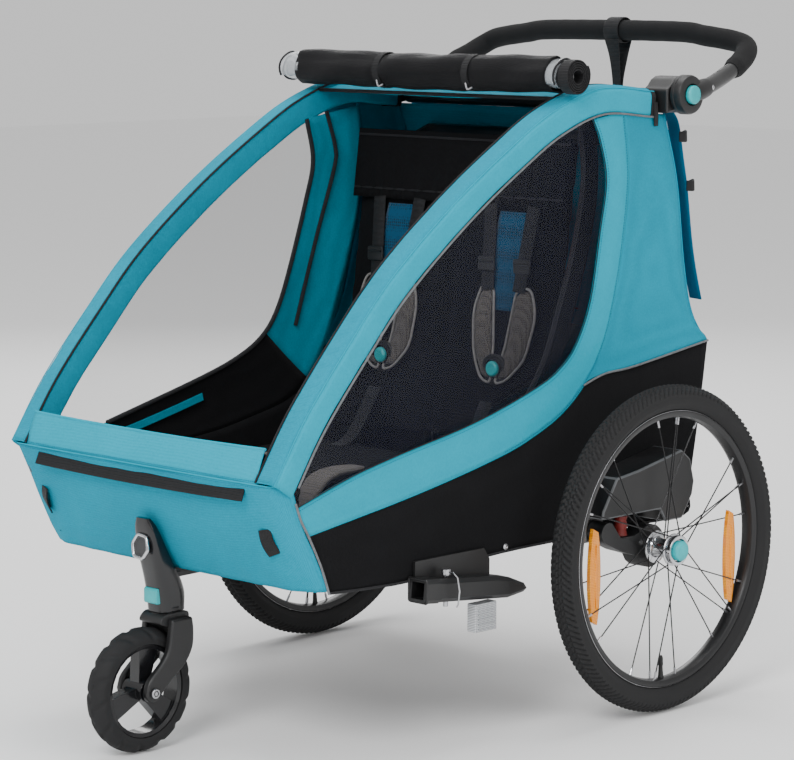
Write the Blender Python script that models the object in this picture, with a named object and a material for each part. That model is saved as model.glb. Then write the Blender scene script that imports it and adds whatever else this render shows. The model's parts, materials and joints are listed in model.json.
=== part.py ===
"""A two-seat child bicycle trailer with a stroller wheel, in metres, +Z up.

The front of the trailer faces -Y, and its left side is at +X. The origin is under the middle of its
bounding box, on the ground. Every body that moves hangs on an empty placed on its joint's axis.
"""

import math

import bmesh
import bpy
from mathutils import Matrix, Vector

# Driving dimensions ---------------------------------------------------------------------------
GAP = 0.0005  # left between pieces that touch
WHEEL_RADIUS = 0.2475
TRACK_HALF = 0.375
AXLE_Y = 0.237
AXLE = (AXLE_Y, WHEEL_RADIUS)
TYRE_HALF_WIDTH = 0.0215
RIM_RADIUS = 0.2085
RIM_DEPTH = 0.0115
SPOKES = 20
WHEEL_SEGMENTS = 36

FRONT_WHEEL_RADIUS = 0.090
FRONT_WHEEL_Y = -0.480
SWIVEL_Y = -0.427

RAIL_INNER_X = 0.252
RAIL_OUTER_X = 0.277
RAIL_LOW_Z = 0.268
RAIL_HIGH_Z = 0.293
FRAME_FRONT_Y = -0.385
FRAME_REAR_Y = 0.399

FABRIC = 0.003
SIDE_X = 0.286  # outer face of the side fabric
FOLD_PIVOT = (-0.376, 0.310)
REAR_PIVOT = (0.385, 0.310)
SEAT_PIVOT = (0.101, 0.376)
SWING_PIVOT = (0.140, 0.279)
HANDLE_PIVOT = (0.350, 0.921)
BRAKE_PIVOT = (0.419, 0.255)

ARCH_INNER_X = 0.248
ARCH_OUTER_X = 0.287
ARCH_DEPTH = 0.042
ARCH_TUBE_X = 0.2625
ARCH_TUBE_RADIUS = 0.0105
ARCH_TUBE_DEPTH = 0.0232
POST_X = 0.235
POST_RADIUS = 0.011

HANDLE_RADIUS = 0.0125
GRIP_RADIUS = 0.017
RECEIVER_X = 0.306
RECEIVER_MOUTH = (-0.225, 0.241)
RECEIVER_PITCH = math.radians(-5.8)
RECEIVER_LENGTH = 0.215
LOCK_PIN_Y = -0.168

# The side view's main lines, as (y, z).
ARCH_LINE = [
    (-0.483, 0.420), (-0.422, 0.509), (-0.335, 0.607), (-0.254, 0.689), (-0.131, 0.783),
    (-0.007, 0.861), (0.085, 0.909), (0.189, 0.938), (0.310, 0.930),
]
WINDOW_REAR_LINE = [
    (0.183, 0.857), (0.198, 0.797), (0.185, 0.724), (0.164, 0.620), (0.132, 0.556), (0.098, 0.525),
    (0.054, 0.504), (-0.033, 0.477), (-0.117, 0.457), (-0.239, 0.435), (-0.338, 0.414),
]
BAND_LOW_LINE = [
    (-0.330, 0.354), (-0.230, 0.369), (-0.128, 0.387), (-0.022, 0.409), (0.040, 0.428),
    (0.110, 0.461), (0.156, 0.500), (0.270, 0.512),
]
REAR_LINE = [(0.337, 0.885), (0.370, 0.790), (0.390, 0.660), (0.410, 0.585), (0.445, 0.536)]
FRONT_LOW = (-0.418, 0.262)
FRONT_MIDDLE = (-0.450, 0.340)
SIDE_FRONT_LOW = (-0.378, 0.257)
SIDE_FRONT_MIDDLE = (-0.420, 0.341)

COLOURS = {  # name: (red, green, blue, roughness, metallic)
    "teal_fabric": (0.0, 0.42, 0.55, 0.85, 0.0),
    "black_fabric": (0.015, 0.015, 0.017, 0.9, 0.0),
    "grey_fabric": (0.16, 0.14, 0.13, 0.9, 0.0),
    "smoked_film": (0.02, 0.025, 0.04, 0.2, 0.0),
    "black_plastic": (0.02, 0.02, 0.022, 0.5, 0.0),
    "gloss_plastic": (0.01, 0.01, 0.012, 0.15, 0.0),
    "teal_plastic": (0.05, 0.55, 0.6, 0.35, 0.0),
    "clear_plastic": (0.6, 0.6, 0.6, 0.1, 0.0),
    "black_paint": (0.02, 0.02, 0.022, 0.4, 0.6),
    "steel": (0.5, 0.5, 0.5, 0.3, 1.0),
    "rubber": (0.03, 0.03, 0.03, 0.85, 0.0),
    "elastomer": (0.35, 0.03, 0.03, 0.6, 0.0),
    "foam": (0.02, 0.02, 0.02, 0.95, 0.0),
}


# Scene helpers --------------------------------------------------------------------------------
def clear_scene():
    for obj in list(bpy.data.objects):
        bpy.data.objects.remove(obj)


def material(name):
    found = bpy.data.materials.get(name)
    if found:
        return found
    red, green, blue, roughness, metallic = COLOURS[name]
    made = bpy.data.materials.new(name)
    made.use_nodes = True
    shader = made.node_tree.nodes["Principled BSDF"]
    shader.inputs["Base Color"].default_value = (red, green, blue, 1.0)
    shader.inputs["Roughness"].default_value = roughness
    shader.inputs["Metallic"].default_value = metallic
    return made


def body(name, at=(0.0, 0.0, 0.0), parent=None):
    """An empty on a joint's axis, which carries the pieces of one moving body."""
    empty = bpy.data.objects.new(name, None)
    bpy.context.scene.collection.objects.link(empty)
    empty.empty_display_size = 0.03
    empty.parent = parent
    empty.location = Vector(at) - (origin_of(parent) if parent else Vector())
    return empty


def origin_of(obj):
    return obj.location + (origin_of(obj.parent) if obj.parent else Vector())


def finish(bm, name, on, finish_name, smooth=False):
    """Turns a bmesh built in world coordinates into an object whose origin is its body's."""
    bmesh.ops.remove_doubles(bm, verts=bm.verts, dist=1e-6)
    bmesh.ops.recalc_face_normals(bm, faces=bm.faces)
    mesh = bpy.data.meshes.new(name)
    bm.to_mesh(mesh)
    bm.free()
    mesh.transform(Matrix.Translation(-origin_of(on)))
    mesh.materials.append(material(finish_name))
    if smooth:
        mesh.shade_smooth()
        mesh.set_sharp_from_angle(angle=math.radians(40))
    obj = bpy.data.objects.new(name, mesh)
    bpy.context.scene.collection.objects.link(obj)
    obj.parent = on
    return obj


def boolean(target, tool, operation):
    """Adds or cuts a helper shape, which is hidden and not a piece itself."""
    tool.hide_render = True
    tool.display_type = "WIRE"
    modifier = target.modifiers.new(tool.name, "BOOLEAN")
    modifier.operation = operation
    modifier.object = tool
    modifier.solver = "EXACT"


# Shape helpers --------------------------------------------------------------------------------
def loft(bm, rings, closed=False):
    """Skins rings of equally many points, and caps the two ends unless it closes on itself."""
    made = [[bm.verts.new(point) for point in ring] for ring in rings]
    pairs = list(zip(made, made[1:]))
    if closed:
        pairs.append((made[-1], made[0]))
    for low, high in pairs:
        for i in range(len(low)):
            j = (i + 1) % len(low)
            bm.faces.new((low[i], low[j], high[j], high[i]))
    if not closed:
        bm.faces.new(made[0])
        bm.faces.new(made[-1])


def in_space(axis, a, b, along):
    """A point from two coordinates across an axis and one along it."""
    if axis == "X":
        return Vector((along, a, b))
    if axis == "Y":
        return Vector((a, along, b))
    return Vector((a, b, along))


def prism(name, outline, low, high, on, finish_name, axis="X"):
    bm = bmesh.new()
    loft(bm, [[in_space(axis, a, b, along) for a, b in outline] for along in (low, high)])
    return finish(bm, name, on, finish_name)


def box(name, low, high, on, finish_name):
    outline = [(low[1], low[2]), (high[1], low[2]), (high[1], high[2]), (low[1], high[2])]
    return prism(name, outline, low[0], high[0], on, finish_name)


def turned(name, profile, centre, on, finish_name, segments=24, ring=False, axis="X"):
    """Turns (along, radius) points round an axis. A ring's profile closes on itself."""
    bm = bmesh.new()
    rings = []
    for step in range(segments):
        angle = 2 * math.pi * (step + 0.5) / segments
        rings.append([
            in_space(axis, centre[0] + r * math.sin(angle), centre[1] - r * math.cos(angle), along)
            for along, r in profile
        ])
    count = len(profile) if ring else len(profile) - 1
    made = [[bm.verts.new(point) for point in points] for points in rings]
    for low, high in zip(made, made[1:] + made[:1]):
        for i in range(count):
            j = (i + 1) % len(profile)
            bm.faces.new((low[i], low[j], high[j], high[i]))
    bmesh.ops.remove_doubles(bm, verts=bm.verts, dist=1e-6)
    return finish(bm, name, on, finish_name, smooth=True)


def disc(name, low, high, radius, centre, on, finish_name, segments=24, axis="X"):
    profile = [(low, 0), (low, radius), (high, radius), (high, 0)]
    return turned(name, profile, centre, on, finish_name, segments, axis=axis)


def tube(name, points, radius, on, finish_name, sides=10):
    """A solid round bar along a path, with flat ends square to it."""
    path = [Vector(point) for point in points]
    bm = bmesh.new()
    rings = []
    across = None
    for i, point in enumerate(path):
        ahead = (path[min(i + 1, len(path) - 1)] - path[max(i - 1, 0)]).normalized()
        if across is None:
            across = ahead.orthogonal().normalized()
        across = (across - ahead * across.dot(ahead)).normalized()
        up = ahead.cross(across)
        angles = [2 * math.pi * (k + 0.5) / sides for k in range(sides)]
        rings.append([point + radius * (across * math.cos(a) + up * math.sin(a)) for a in angles])
    loft(bm, rings)
    return finish(bm, name, on, finish_name, smooth=True)


def smooth_path(points, steps):
    """A Catmull-Rom curve through the points."""
    vectors = [Vector(point) for point in points]
    first = 2 * vectors[0] - vectors[1]
    last = 2 * vectors[-1] - vectors[-2]
    padded = [first, *vectors, last]
    curve = []
    for a, b, c, d in zip(padded, padded[1:], padded[2:], padded[3:]):
        for step in range(steps):
            t = step / steps
            curve.append(0.5 * (
                2 * b + (c - a) * t + (2 * a - 5 * b + 4 * c - d) * t**2
                + (3 * b - a - 3 * c + d) * t**3
            ))
    return [*curve, vectors[-1]]


def offset_line(line, distance):
    """Moves a (y, z) line to the left of its direction of travel."""
    moved = []
    for i, point in enumerate(line):
        ahead = (Vector(line[min(i + 1, len(line) - 1)]) - Vector(line[max(i - 1, 0)])).normalized()
        moved.append(Vector(point) + distance * Vector((-ahead.y, ahead.x)))
    return moved


def strip(line, thickness):
    """The outline of a sheet that follows a (y, z) line."""
    return [*(Vector(point) for point in line), *reversed(offset_line(line, thickness))]


def arch_line(depth=0.0):
    """The arch's line in side view, this far inside its outer edge."""
    return offset_line(smooth_path(ARCH_LINE, 2), -depth)


def circle_points(centre, radius, start, stop, count):
    """Points of an arc in the plane, from one angle in degrees to another."""
    angles = [math.radians(start + (stop - start) * i / (count - 1)) for i in range(count)]
    return [(centre[0] + radius * math.cos(a), centre[1] + radius * math.sin(a)) for a in angles]


def sides():
    """(name, sign of x) of the two sides."""
    return (("left", 1), ("right", -1))


# Chassis --------------------------------------------------------------------------------------
def build_chassis(chassis):
    for side, sign in sides():
        box(
            f"{side}_rail",
            (min(sign * RAIL_INNER_X, sign * RAIL_OUTER_X), FRAME_FRONT_Y, RAIL_LOW_Z),
            (max(sign * RAIL_INNER_X, sign * RAIL_OUTER_X), FRAME_REAR_Y, RAIL_HIGH_Z),
            chassis, "black_paint",
        )
    reach = RAIL_INNER_X - GAP
    for name, low_y, high_y in (
        ("front_cross_tube", FRAME_FRONT_Y + 0.002, FRAME_FRONT_Y + 0.027),
        ("axle_cross_tube", AXLE_Y - 0.040, AXLE_Y - 0.010),
    ):
        box(name, (-reach, low_y, RAIL_LOW_Z), (reach, high_y, RAIL_HIGH_Z), chassis, "black_paint")
    build_rear_cross_tube(chassis, reach)
    box(
        "floor_panel",
        (-RAIL_OUTER_X + 0.002, FRAME_FRONT_Y + 0.006, 0.2620),
        (RAIL_OUTER_X - 0.002, FRAME_REAR_Y - 0.028, RAIL_LOW_Z - 0.0015),
        chassis, "black_fabric",
    )


def build_rear_cross_tube(chassis, reach):
    """The rear cross tube, with two ears below it that hold the brake pedal."""
    front_y = FRAME_REAR_Y - 0.026
    low = (-reach, front_y, RAIL_LOW_Z)
    high = (reach, FRAME_REAR_Y - 0.001, RAIL_HIGH_Z)
    cross_tube = box("rear_cross_tube", low, high, chassis, "black_paint")
    outline = [
        (front_y + 0.002, RAIL_LOW_Z + 0.004), (FRAME_REAR_Y - 0.004, RAIL_LOW_Z + 0.004),
        (FRAME_REAR_Y - 0.003, RAIL_LOW_Z - 0.002), (BRAKE_PIVOT[0] + 0.010, RAIL_LOW_Z - 0.004),
        (BRAKE_PIVOT[0] + 0.010, BRAKE_PIVOT[1] - 0.011), (front_y + 0.010, BRAKE_PIVOT[1] - 0.006),
    ]
    for side, sign in sides():
        ends = sorted((sign * 0.047, sign * 0.053))
        ear = prism(f"{side}_brake_ear", outline, *ends, chassis, "black_paint")
        boolean(cross_tube, ear, "UNION")


def build_brake(pedal_body):
    """The parking brake's foot pedal, between the two ears."""
    profile = [(-0.0465, 0), (-0.0465, 0.009), (0.0465, 0.009), (0.0465, 0)]
    pedal = turned("brake_pedal", profile, BRAKE_PIVOT, pedal_body, "black_plastic", 12)
    y, z = BRAKE_PIVOT
    outline = [
        (y, z - 0.004), (y + 0.050, z - 0.012), (y + 0.062, z - 0.006), (y + 0.062, z),
        (y + 0.048, z - 0.003), (y, z + 0.006),
    ]
    plate = prism("pedal_plate", outline, -0.036, 0.036, pedal_body, "black_plastic")
    boolean(pedal, plate, "UNION")


# Fabric cover ---------------------------------------------------------------------------------
def build_cover(chassis):
    build_front_panel(chassis)
    inner_line = arch_line(ARCH_DEPTH + GAP)
    knee = inner_line[0]
    apex = next(i for i, point in enumerate(inner_line) if point.x > 0.150)
    window_rear = [tuple(point) for point in smooth_path(WINDOW_REAR_LINE, 1)]
    window_front = (knee.x + 0.0070, knee.y - 0.0120)
    panel = [
        (SIDE_FRONT_MIDDLE[0] + GAP, SIDE_FRONT_MIDDLE[1] + GAP), *BAND_LOW_LINE, REAR_LINE[-1],
        *reversed(REAR_LINE[:-1]), *(tuple(point) for point in reversed(inner_line[apex + 1:-1])),
        (0.158, 0.8870), *window_rear, window_front,
    ]
    window = [
        (knee.x + 0.0015, knee.y + 0.0005), *(tuple(point) for point in inner_line[1:apex]),
        *offset_line(window_rear, -GAP), (window_front[0] + GAP, window_front[1] + GAP),
    ]
    band = offset_line(BAND_LOW_LINE, -GAP)
    lower = [
        (SIDE_FRONT_LOW[0] + GAP, SIDE_FRONT_LOW[1]), (-0.212, 0.251), (-0.060, 0.265),
        (0.390, 0.268), (0.402, 0.300), (0.402, 0.468), (REAR_LINE[-1][0], REAR_LINE[-1][1] - GAP),
        *(tuple(point) for point in reversed(band)),
        (SIDE_FRONT_MIDDLE[0] + GAP, SIDE_FRONT_MIDDLE[1]),
    ]
    for side, sign in sides():
        ends = sorted((sign * (SIDE_X - FABRIC), sign * SIDE_X))
        prism(f"{side}_side_panel", panel, *ends, chassis, "teal_fabric")
        prism(f"{side}_window", window, *ends, chassis, "smoked_film")
        prism(f"{side}_lower_side", lower, *ends, chassis, "black_fabric")
    reach = SIDE_X - FABRIC - GAP
    prism("rear_panel", strip(REAR_LINE, -FABRIC), -reach, reach, chassis, "teal_fabric")
    low_rear = [(REAR_LINE[-1][0] - 0.003, REAR_LINE[-1][1] - 0.004), (0.402, 0.468), (0.402, 0.269)]
    prism("lower_rear_panel", strip(low_rear, -FABRIC), -reach, reach, chassis, "black_fabric")


def build_front_panel(chassis):
    """The front panel wraps round both corners and carries a band between the arches' feet."""
    knee = arch_line()[0]
    side_top = arch_line(ARCH_DEPTH)[0]
    levels = [  # (front y, front z, corner x, side y, side z)
        (*FRONT_LOW, 0.248, *SIDE_FRONT_LOW),
        (*FRONT_MIDDLE, 0.266, *SIDE_FRONT_MIDDLE),
        (knee.x, knee.y - 0.004, 0.273, side_top.x, side_top.y - 0.001),
    ]
    bm = bmesh.new()
    rows = []
    for front_y, front_z, corner_x, side_y, side_z in levels:
        half = [(0.220, front_y, front_z), (corner_x, front_y, front_z), (SIDE_X, side_y, side_z)]
        inner = [
            (0.220, front_y + FABRIC, front_z), (corner_x - 0.0012, front_y + FABRIC, front_z),
            (SIDE_X - FABRIC, side_y, side_z),
        ]
        mirrored = [[(-x, y, z) for x, y, z in reversed(points)] for points in (half, inner)]
        rows.append([
            [bm.verts.new(point) for point in [*mirrored[k], *points]]
            for k, points in enumerate((half, inner))
        ])
    for (low_out, low_in), (high_out, high_in) in zip(rows, rows[1:]):
        for i in range(5):
            bm.faces.new((low_out[i], low_out[i + 1], high_out[i + 1], high_out[i]))
            bm.faces.new((low_in[i], low_in[i + 1], high_in[i + 1], high_in[i]))
        for i in (0, 5):
            bm.faces.new((low_out[i], low_in[i], high_in[i], high_out[i]))
    caps = []
    for out, inner in (rows[0], rows[-1]):
        caps.append([
            bm.faces.new((out[i], out[i + 1], inner[i + 1], inner[i])) for i in range(5)
        ])
    raised = bmesh.ops.extrude_discrete_faces(bm, faces=[caps[1][2]])["faces"]
    bmesh.ops.translate(bm, verts=raised[0].verts, vec=(0, 0.018, 0.044))
    finish(bm, "front_panel", chassis, "teal_fabric")


# Seats ----------------------------------------------------------------------------------------
SEAT_BACK_LINE = [(0.100, 0.380), (0.150, 0.520), (0.195, 0.860)]
SEAT_X = 0.236
HARNESS_X = 0.120


def build_seats(chassis, back):
    """The bench, and the backrest that folds forward onto it."""
    prism("seat_back", strip(SEAT_BACK_LINE, -0.022), -SEAT_X, SEAT_X, back, "black_fabric")
    base = [
        (-0.215, 0.325), (-0.190, 0.322), (0.098, 0.340), (0.098, 0.372), (-0.150, 0.372),
        (-0.200, 0.362),
    ]
    prism("seat_base", base, -SEAT_X, SEAT_X, chassis, "black_fabric")


def seat_back_y(z):
    """Where the front of the seat back is at this height."""
    low, middle, high = SEAT_BACK_LINE
    start, end = (low, middle) if z < middle[1] else (middle, high)
    return start[0] + (end[0] - start[0]) * (z - start[1]) / (end[1] - start[1])


def build_harness(side, sign, back, button_body):
    """A pair of shoulder pads that meet at the buckle, lying on the seat back."""
    half = [
        (0.000, 0.478), (0.026, 0.486), (0.052, 0.520), (0.058, 0.590), (0.042, 0.634),
        (0.016, 0.630), (0.010, 0.560),
    ]
    outline = [*half, (0.0, 0.540), *[(-x, z) for x, z in reversed(half[1:])]]
    centre = sign * HARNESS_X
    bm = bmesh.new()
    loft(bm, [
        [Vector((centre + x, seat_back_y(z) - depth, z)) for x, z in outline]
        for depth in (0.0155, 0.0015)
    ])
    harness = finish(bm, f"{side}_harness", back, "grey_fabric")
    y = seat_back_y(0.505) - 0.0065
    pocket = disc(
        f"{side}_buckle_pocket", y - 0.020, y, 0.0125, (centre, 0.505), back, "black_plastic",
        16, axis="Y",
    )
    boolean(harness, pocket, "DIFFERENCE")
    profile = [
        (y - 0.0125, 0), (y - 0.0125, 0.009), (y - 0.0105, 0.012), (y - 0.0035, 0.012),
        (y - 0.0035, 0),
    ]
    turned(
        f"{side}_buckle_button", profile, (centre, 0.505), button_body, "teal_plastic", 16,
        axis="Y",
    )


# Folding arch ---------------------------------------------------------------------------------
def build_arch(arch):
    """The tubes, sleeves, roof and rolled cover that fold down together."""
    lower_end = (ARCH_TUBE_X, *FOLD_PIVOT)
    centre_line = arch_line(ARCH_TUBE_DEPTH)
    for side, sign in sides():
        path = smooth_path([
            lower_end, (ARCH_TUBE_X, -0.405, 0.326), (ARCH_TUBE_X, -0.4278, 0.3525),
            *[(ARCH_TUBE_X, p.x, p.y) for p in centre_line[::2]],
        ], 2)
        path = [Vector((sign * p.x, p.y, p.z)) for p in path]
        path[-1].y = HANDLE_PIVOT[0] - 0.037
        tube(f"{side}_arch_tube", path, ARCH_TUBE_RADIUS, arch, "black_paint", 8)
        build_sleeve(side, sign, arch)
        build_handle_socket(side, sign, arch)
    reach = 0.2555
    ends = [(-reach, 0.334, 0.905), (reach, 0.334, 0.905)]
    tube("top_cross_tube", ends, 0.0125, arch, "black_paint", 12)
    roof = strip([(0.150, 0.9255), (0.189, 0.9355), (0.300, 0.9285)], -FABRIC)
    prism("roof_panel", roof, -ARCH_INNER_X + GAP, ARCH_INNER_X - GAP, arch, "teal_fabric")
    build_cover_roll(arch)


def sleeve_rings(sign, section):
    lines = {depth: arch_line(depth) for _, depth in section}
    count = len(arch_line())
    return [
        [Vector((sign * x, lines[depth][i].x, lines[depth][i].y)) for x, depth in section]
        for i in range(count)
    ]


def build_sleeve(side, sign, arch):
    """The padded sleeve round an arch tube: a hollow five-sided section, open at both ends."""
    wall = 0.0025
    outer = [
        (ARCH_INNER_X, 0.0), (0.278, 0.0), (ARCH_OUTER_X, 0.010), (ARCH_OUTER_X, ARCH_DEPTH),
        (ARCH_INNER_X, ARCH_DEPTH),
    ]
    inner = [
        (ARCH_INNER_X + wall, wall), (0.277, wall), (ARCH_OUTER_X - wall, 0.0115),
        (ARCH_OUTER_X - wall, ARCH_DEPTH - wall), (ARCH_INNER_X + wall, ARCH_DEPTH - wall),
    ]
    bm = bmesh.new()
    skins = []
    for section in (outer, inner):
        rings = sleeve_rings(sign, section)
        skins.append([[bm.verts.new(point) for point in ring] for ring in rings])
    for skin in skins:
        for low, high in zip(skin, skin[1:]):
            for i in range(5):
                j = (i + 1) % 5
                bm.faces.new((low[i], low[j], high[j], high[i]))
    for end in (0, -1):
        out, inn = skins[0][end], skins[1][end]
        for i in range(5):
            j = (i + 1) % 5
            bm.faces.new((out[i], out[j], inn[j], inn[i]))
    finish(bm, f"{side}_arch_sleeve", arch, "teal_fabric")


def build_handle_socket(side, sign, arch):
    """The block on the arch tube's end, with the fixed half of the handlebar's knob."""
    y, z = HANDLE_PIVOT
    knob = circle_points(HANDLE_PIVOT, 0.028, -120, 150, 13)
    outline = [*knob, (y - 0.0335, z + 0.008), (y - 0.0335, z - 0.028)]
    ends = sorted((sign * 0.256, sign * 0.3035))
    prism(f"{side}_handle_socket", outline, *ends, arch, "black_plastic")


def build_cover_roll(arch):
    """The rolled-up front cover, with the clear film showing at its ends."""
    profile = [
        (-0.306, 0), (-0.306, 0.020), (-0.300, 0.026), (-0.270, 0.030), (0.270, 0.030),
        (0.300, 0.026), (0.306, 0.020), (0.306, 0),
    ]
    turned("cover_roll", profile, (0.112, 0.9545), arch, "black_fabric", 14)


def build_rear_frame(rear):
    """The bent tube that holds the arch up from behind."""
    top_y, top_z = 0.330, 0.850
    corner = 0.030
    half = [
        (POST_X, *REAR_PIVOT), (POST_X, top_y + 0.004, top_z - corner),
        (POST_X - 0.009, top_y + 0.001, top_z - 0.009), (POST_X - corner, top_y, top_z),
    ]
    path = [*half, *[(-x, y, z) for x, y, z in reversed(half)]]
    tube("rear_frame", path, POST_RADIUS, rear, "black_paint", 10)


# Handlebar ------------------------------------------------------------------------------------
GRIP_HALF_PATH = [
    (0.3035, 0.448, 0.9445), (0.293, 0.503, 0.9640), (0.280, 0.540, 0.984), (0.255, 0.5489, 0.9960),
    (0.190, 0.5489, 1.0050), (0.125, 0.5489, 1.0110),
]


def bar_path(half):
    return [*half, *[(-x, y, z) for x, y, z in reversed(half)]]


def build_handlebar(handle, strap_body):
    y, z = HANDLE_PIVOT
    root = [(0.3165, y + 0.012, z + 0.002), (0.3150, y + 0.045, z + 0.010)]
    path = smooth_path(bar_path([*root, *GRIP_HALF_PATH]), 2)
    bar = tube("handlebar", path, HANDLE_RADIUS, handle, "black_paint", 8)
    for side, sign in sides():
        ends = sorted((sign * 0.3045, sign * 0.3250))
        knob = disc(f"{side}_knob", *ends, 0.030, HANDLE_PIVOT, handle, "black_plastic", 20)
        boolean(bar, knob, "UNION")
        ends = sorted((sign * 0.3185, sign * 0.3400))
        pocket = disc(f"{side}_knob_pocket", *ends, 0.0150, HANDLE_PIVOT, handle, "steel", 16)
        boolean(bar, pocket, "DIFFERENCE")
    build_grip(handle)
    build_wrist_strap(strap_body)


def build_grip(handle):
    """The foam grip: a sleeve round the bar, open at both ends."""
    path = smooth_path(bar_path(GRIP_HALF_PATH), 2)[1:-1]
    count = 8
    grip = tube("handlebar_grip", path, GRIP_RADIUS, handle, "foam", count)
    longer = smooth_path(bar_path([(0.3150, 0.395, 0.931), *GRIP_HALF_PATH]), 2)
    bore = tube("grip_bore", longer, HANDLE_RADIUS + 0.0006, handle, "foam", count)
    boolean(grip, bore, "DIFFERENCE")


def grip_middle():
    """(y, z) of the grip's centre line at the middle of the bar."""
    path = smooth_path(bar_path(GRIP_HALF_PATH), 2)
    return tuple(path[len(path) // 2].yz)


def build_wrist_strap(hanging):
    """A webbing loop that hangs from the middle of the bar."""
    low_x, high_x = -0.006, 0.026
    y, z = grip_middle()
    strap = disc(
        "wrist_strap", low_x, high_x, GRIP_RADIUS + 0.0045, (y, z), hanging, "black_fabric", 16,
    )
    tail_low = (low_x, y - 0.003, 0.800)
    tail_high = (high_x, y + 0.003, z - 0.015)
    boolean(strap, box("strap_tail", tail_low, tail_high, hanging, "foam"), "UNION")
    ends = (low_x - 0.01, high_x + 0.01)
    bore = disc("strap_bore", *ends, GRIP_RADIUS + 0.0025, (y, z), hanging, "foam", 16)
    boolean(strap, bore, "DIFFERENCE")


def build_tilt_button(side, sign, button):
    profile = [(0.3225, 0), (0.3225, 0.0144), (0.3300, 0.0144), (0.3320, 0.0115), (0.3320, 0)]
    profile = [(sign * along, radius) for along, radius in profile]
    turned(f"{side}_tilt_button", profile, HANDLE_PIVOT, button, "teal_plastic", 16)


# Suspension and main wheels -------------------------------------------------------------------
HOUSING_OUTLINE = [
    (0.128, 0.2995), (0.130, 0.312), (0.161, 0.359), (0.209, 0.365), (0.313, 0.385),
    (0.333, 0.369), (0.343, 0.334), (0.339, 0.314), (0.315, 0.279), (0.275, 0.279),
    (0.262, 0.2995),
]
DRUM_RADIUS = 0.033
ELASTOMER_Y = 0.184


def build_suspension(side, sign, chassis, swing):
    outer, inner = 0.345, SIDE_X + 0.001
    ends = sorted((sign * outer, sign * inner))
    housing = prism(f"{side}_suspension_housing", HOUSING_OUTLINE, *ends, chassis, "black_plastic")
    cheek_outline = [(0.122, 0.305), (0.122, 0.262), (0.158, 0.262), (0.165, 0.305)]
    ends = sorted((sign * inner, sign * 0.3165))
    cheek = prism(f"{side}_cheek", cheek_outline, *ends, chassis, "black_plastic")
    boolean(housing, cheek, "UNION")
    ends = sorted((sign * 0.2955, sign * 0.3300))
    hole = disc(f"{side}_pivot_hole", *ends, 0.0066, SWING_PIVOT, chassis, "steel", 12)
    boolean(housing, hole, "DIFFERENCE")

    outline = [
        *circle_points(SWING_PIVOT, 0.016, 60, 240, 8), (0.168, 0.248),
        *circle_points(AXLE, DRUM_RADIUS, 200, 490, 14), (0.200, 0.268), (0.168, 0.268),
    ]
    ends = sorted((sign * 0.3175, sign * 0.3470))
    arm = prism(f"{side}_swing_arm", outline, *ends, swing, "black_paint")
    ends = sorted((sign * 0.2965, sign * 0.3200))
    pin = disc(f"{side}_pivot_pin", *ends, 0.006, SWING_PIVOT, swing, "steel", 12)
    boolean(arm, pin, "UNION")
    ends = sorted((sign * 0.3220, sign * 0.3600))
    bore = disc(f"{side}_axle_bore", *ends, 0.0070, AXLE, swing, "steel", 12)
    boolean(arm, bore, "DIFFERENCE")

    disc(
        f"{side}_elastomer", 0.2685, 0.2990, 0.011, (sign * 0.332, ELASTOMER_Y), chassis,
        "elastomer", 12, axis="Z",
    )


def build_wheel(side, sign, wheel, button):
    """A spoked wheel: tyre, rim, and a hub with its axle stub, flanges and spokes."""
    half = TYRE_HALF_WIDTH
    inner = RIM_RADIUS + 0.0004
    top = WHEEL_RADIUS / math.cos(math.pi / WHEEL_SEGMENTS)
    section = [
        (-0.0115, inner), (-0.0165, inner + 0.007), (-half, inner + 0.018), (-0.0170, top - 0.0075),
        (-0.0080, top), (0.0080, top), (0.0170, top - 0.0075), (half, inner + 0.018),
        (0.0165, inner + 0.007), (0.0115, inner),
    ]
    centre_x = sign * TRACK_HALF
    section = [(centre_x + along, radius) for along, radius in section]
    turned(f"{side}_tyre", section, AXLE, wheel, "rubber", WHEEL_SEGMENTS, ring=True)
    low = RIM_RADIUS - RIM_DEPTH
    section = [
        (-0.0090, low), (-0.0125, low + 0.004), (-0.0125, RIM_RADIUS), (0.0125, RIM_RADIUS),
        (0.0125, low + 0.004), (0.0090, low),
    ]
    section = [(centre_x + along, radius) for along, radius in section]
    turned(f"{side}_rim", section, AXLE, wheel, "black_paint", WHEEL_SEGMENTS, ring=True)
    build_hub(side, sign, wheel, low)
    profile = [(0.3985, 0), (0.3985, 0.0153), (0.4085, 0.0153), (0.4115, 0.0115), (0.4115, 0)]
    profile = [(sign * along, radius) for along, radius in profile]
    turned(f"{side}_hub_button", profile, AXLE, button, "teal_plastic", 16)


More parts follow.
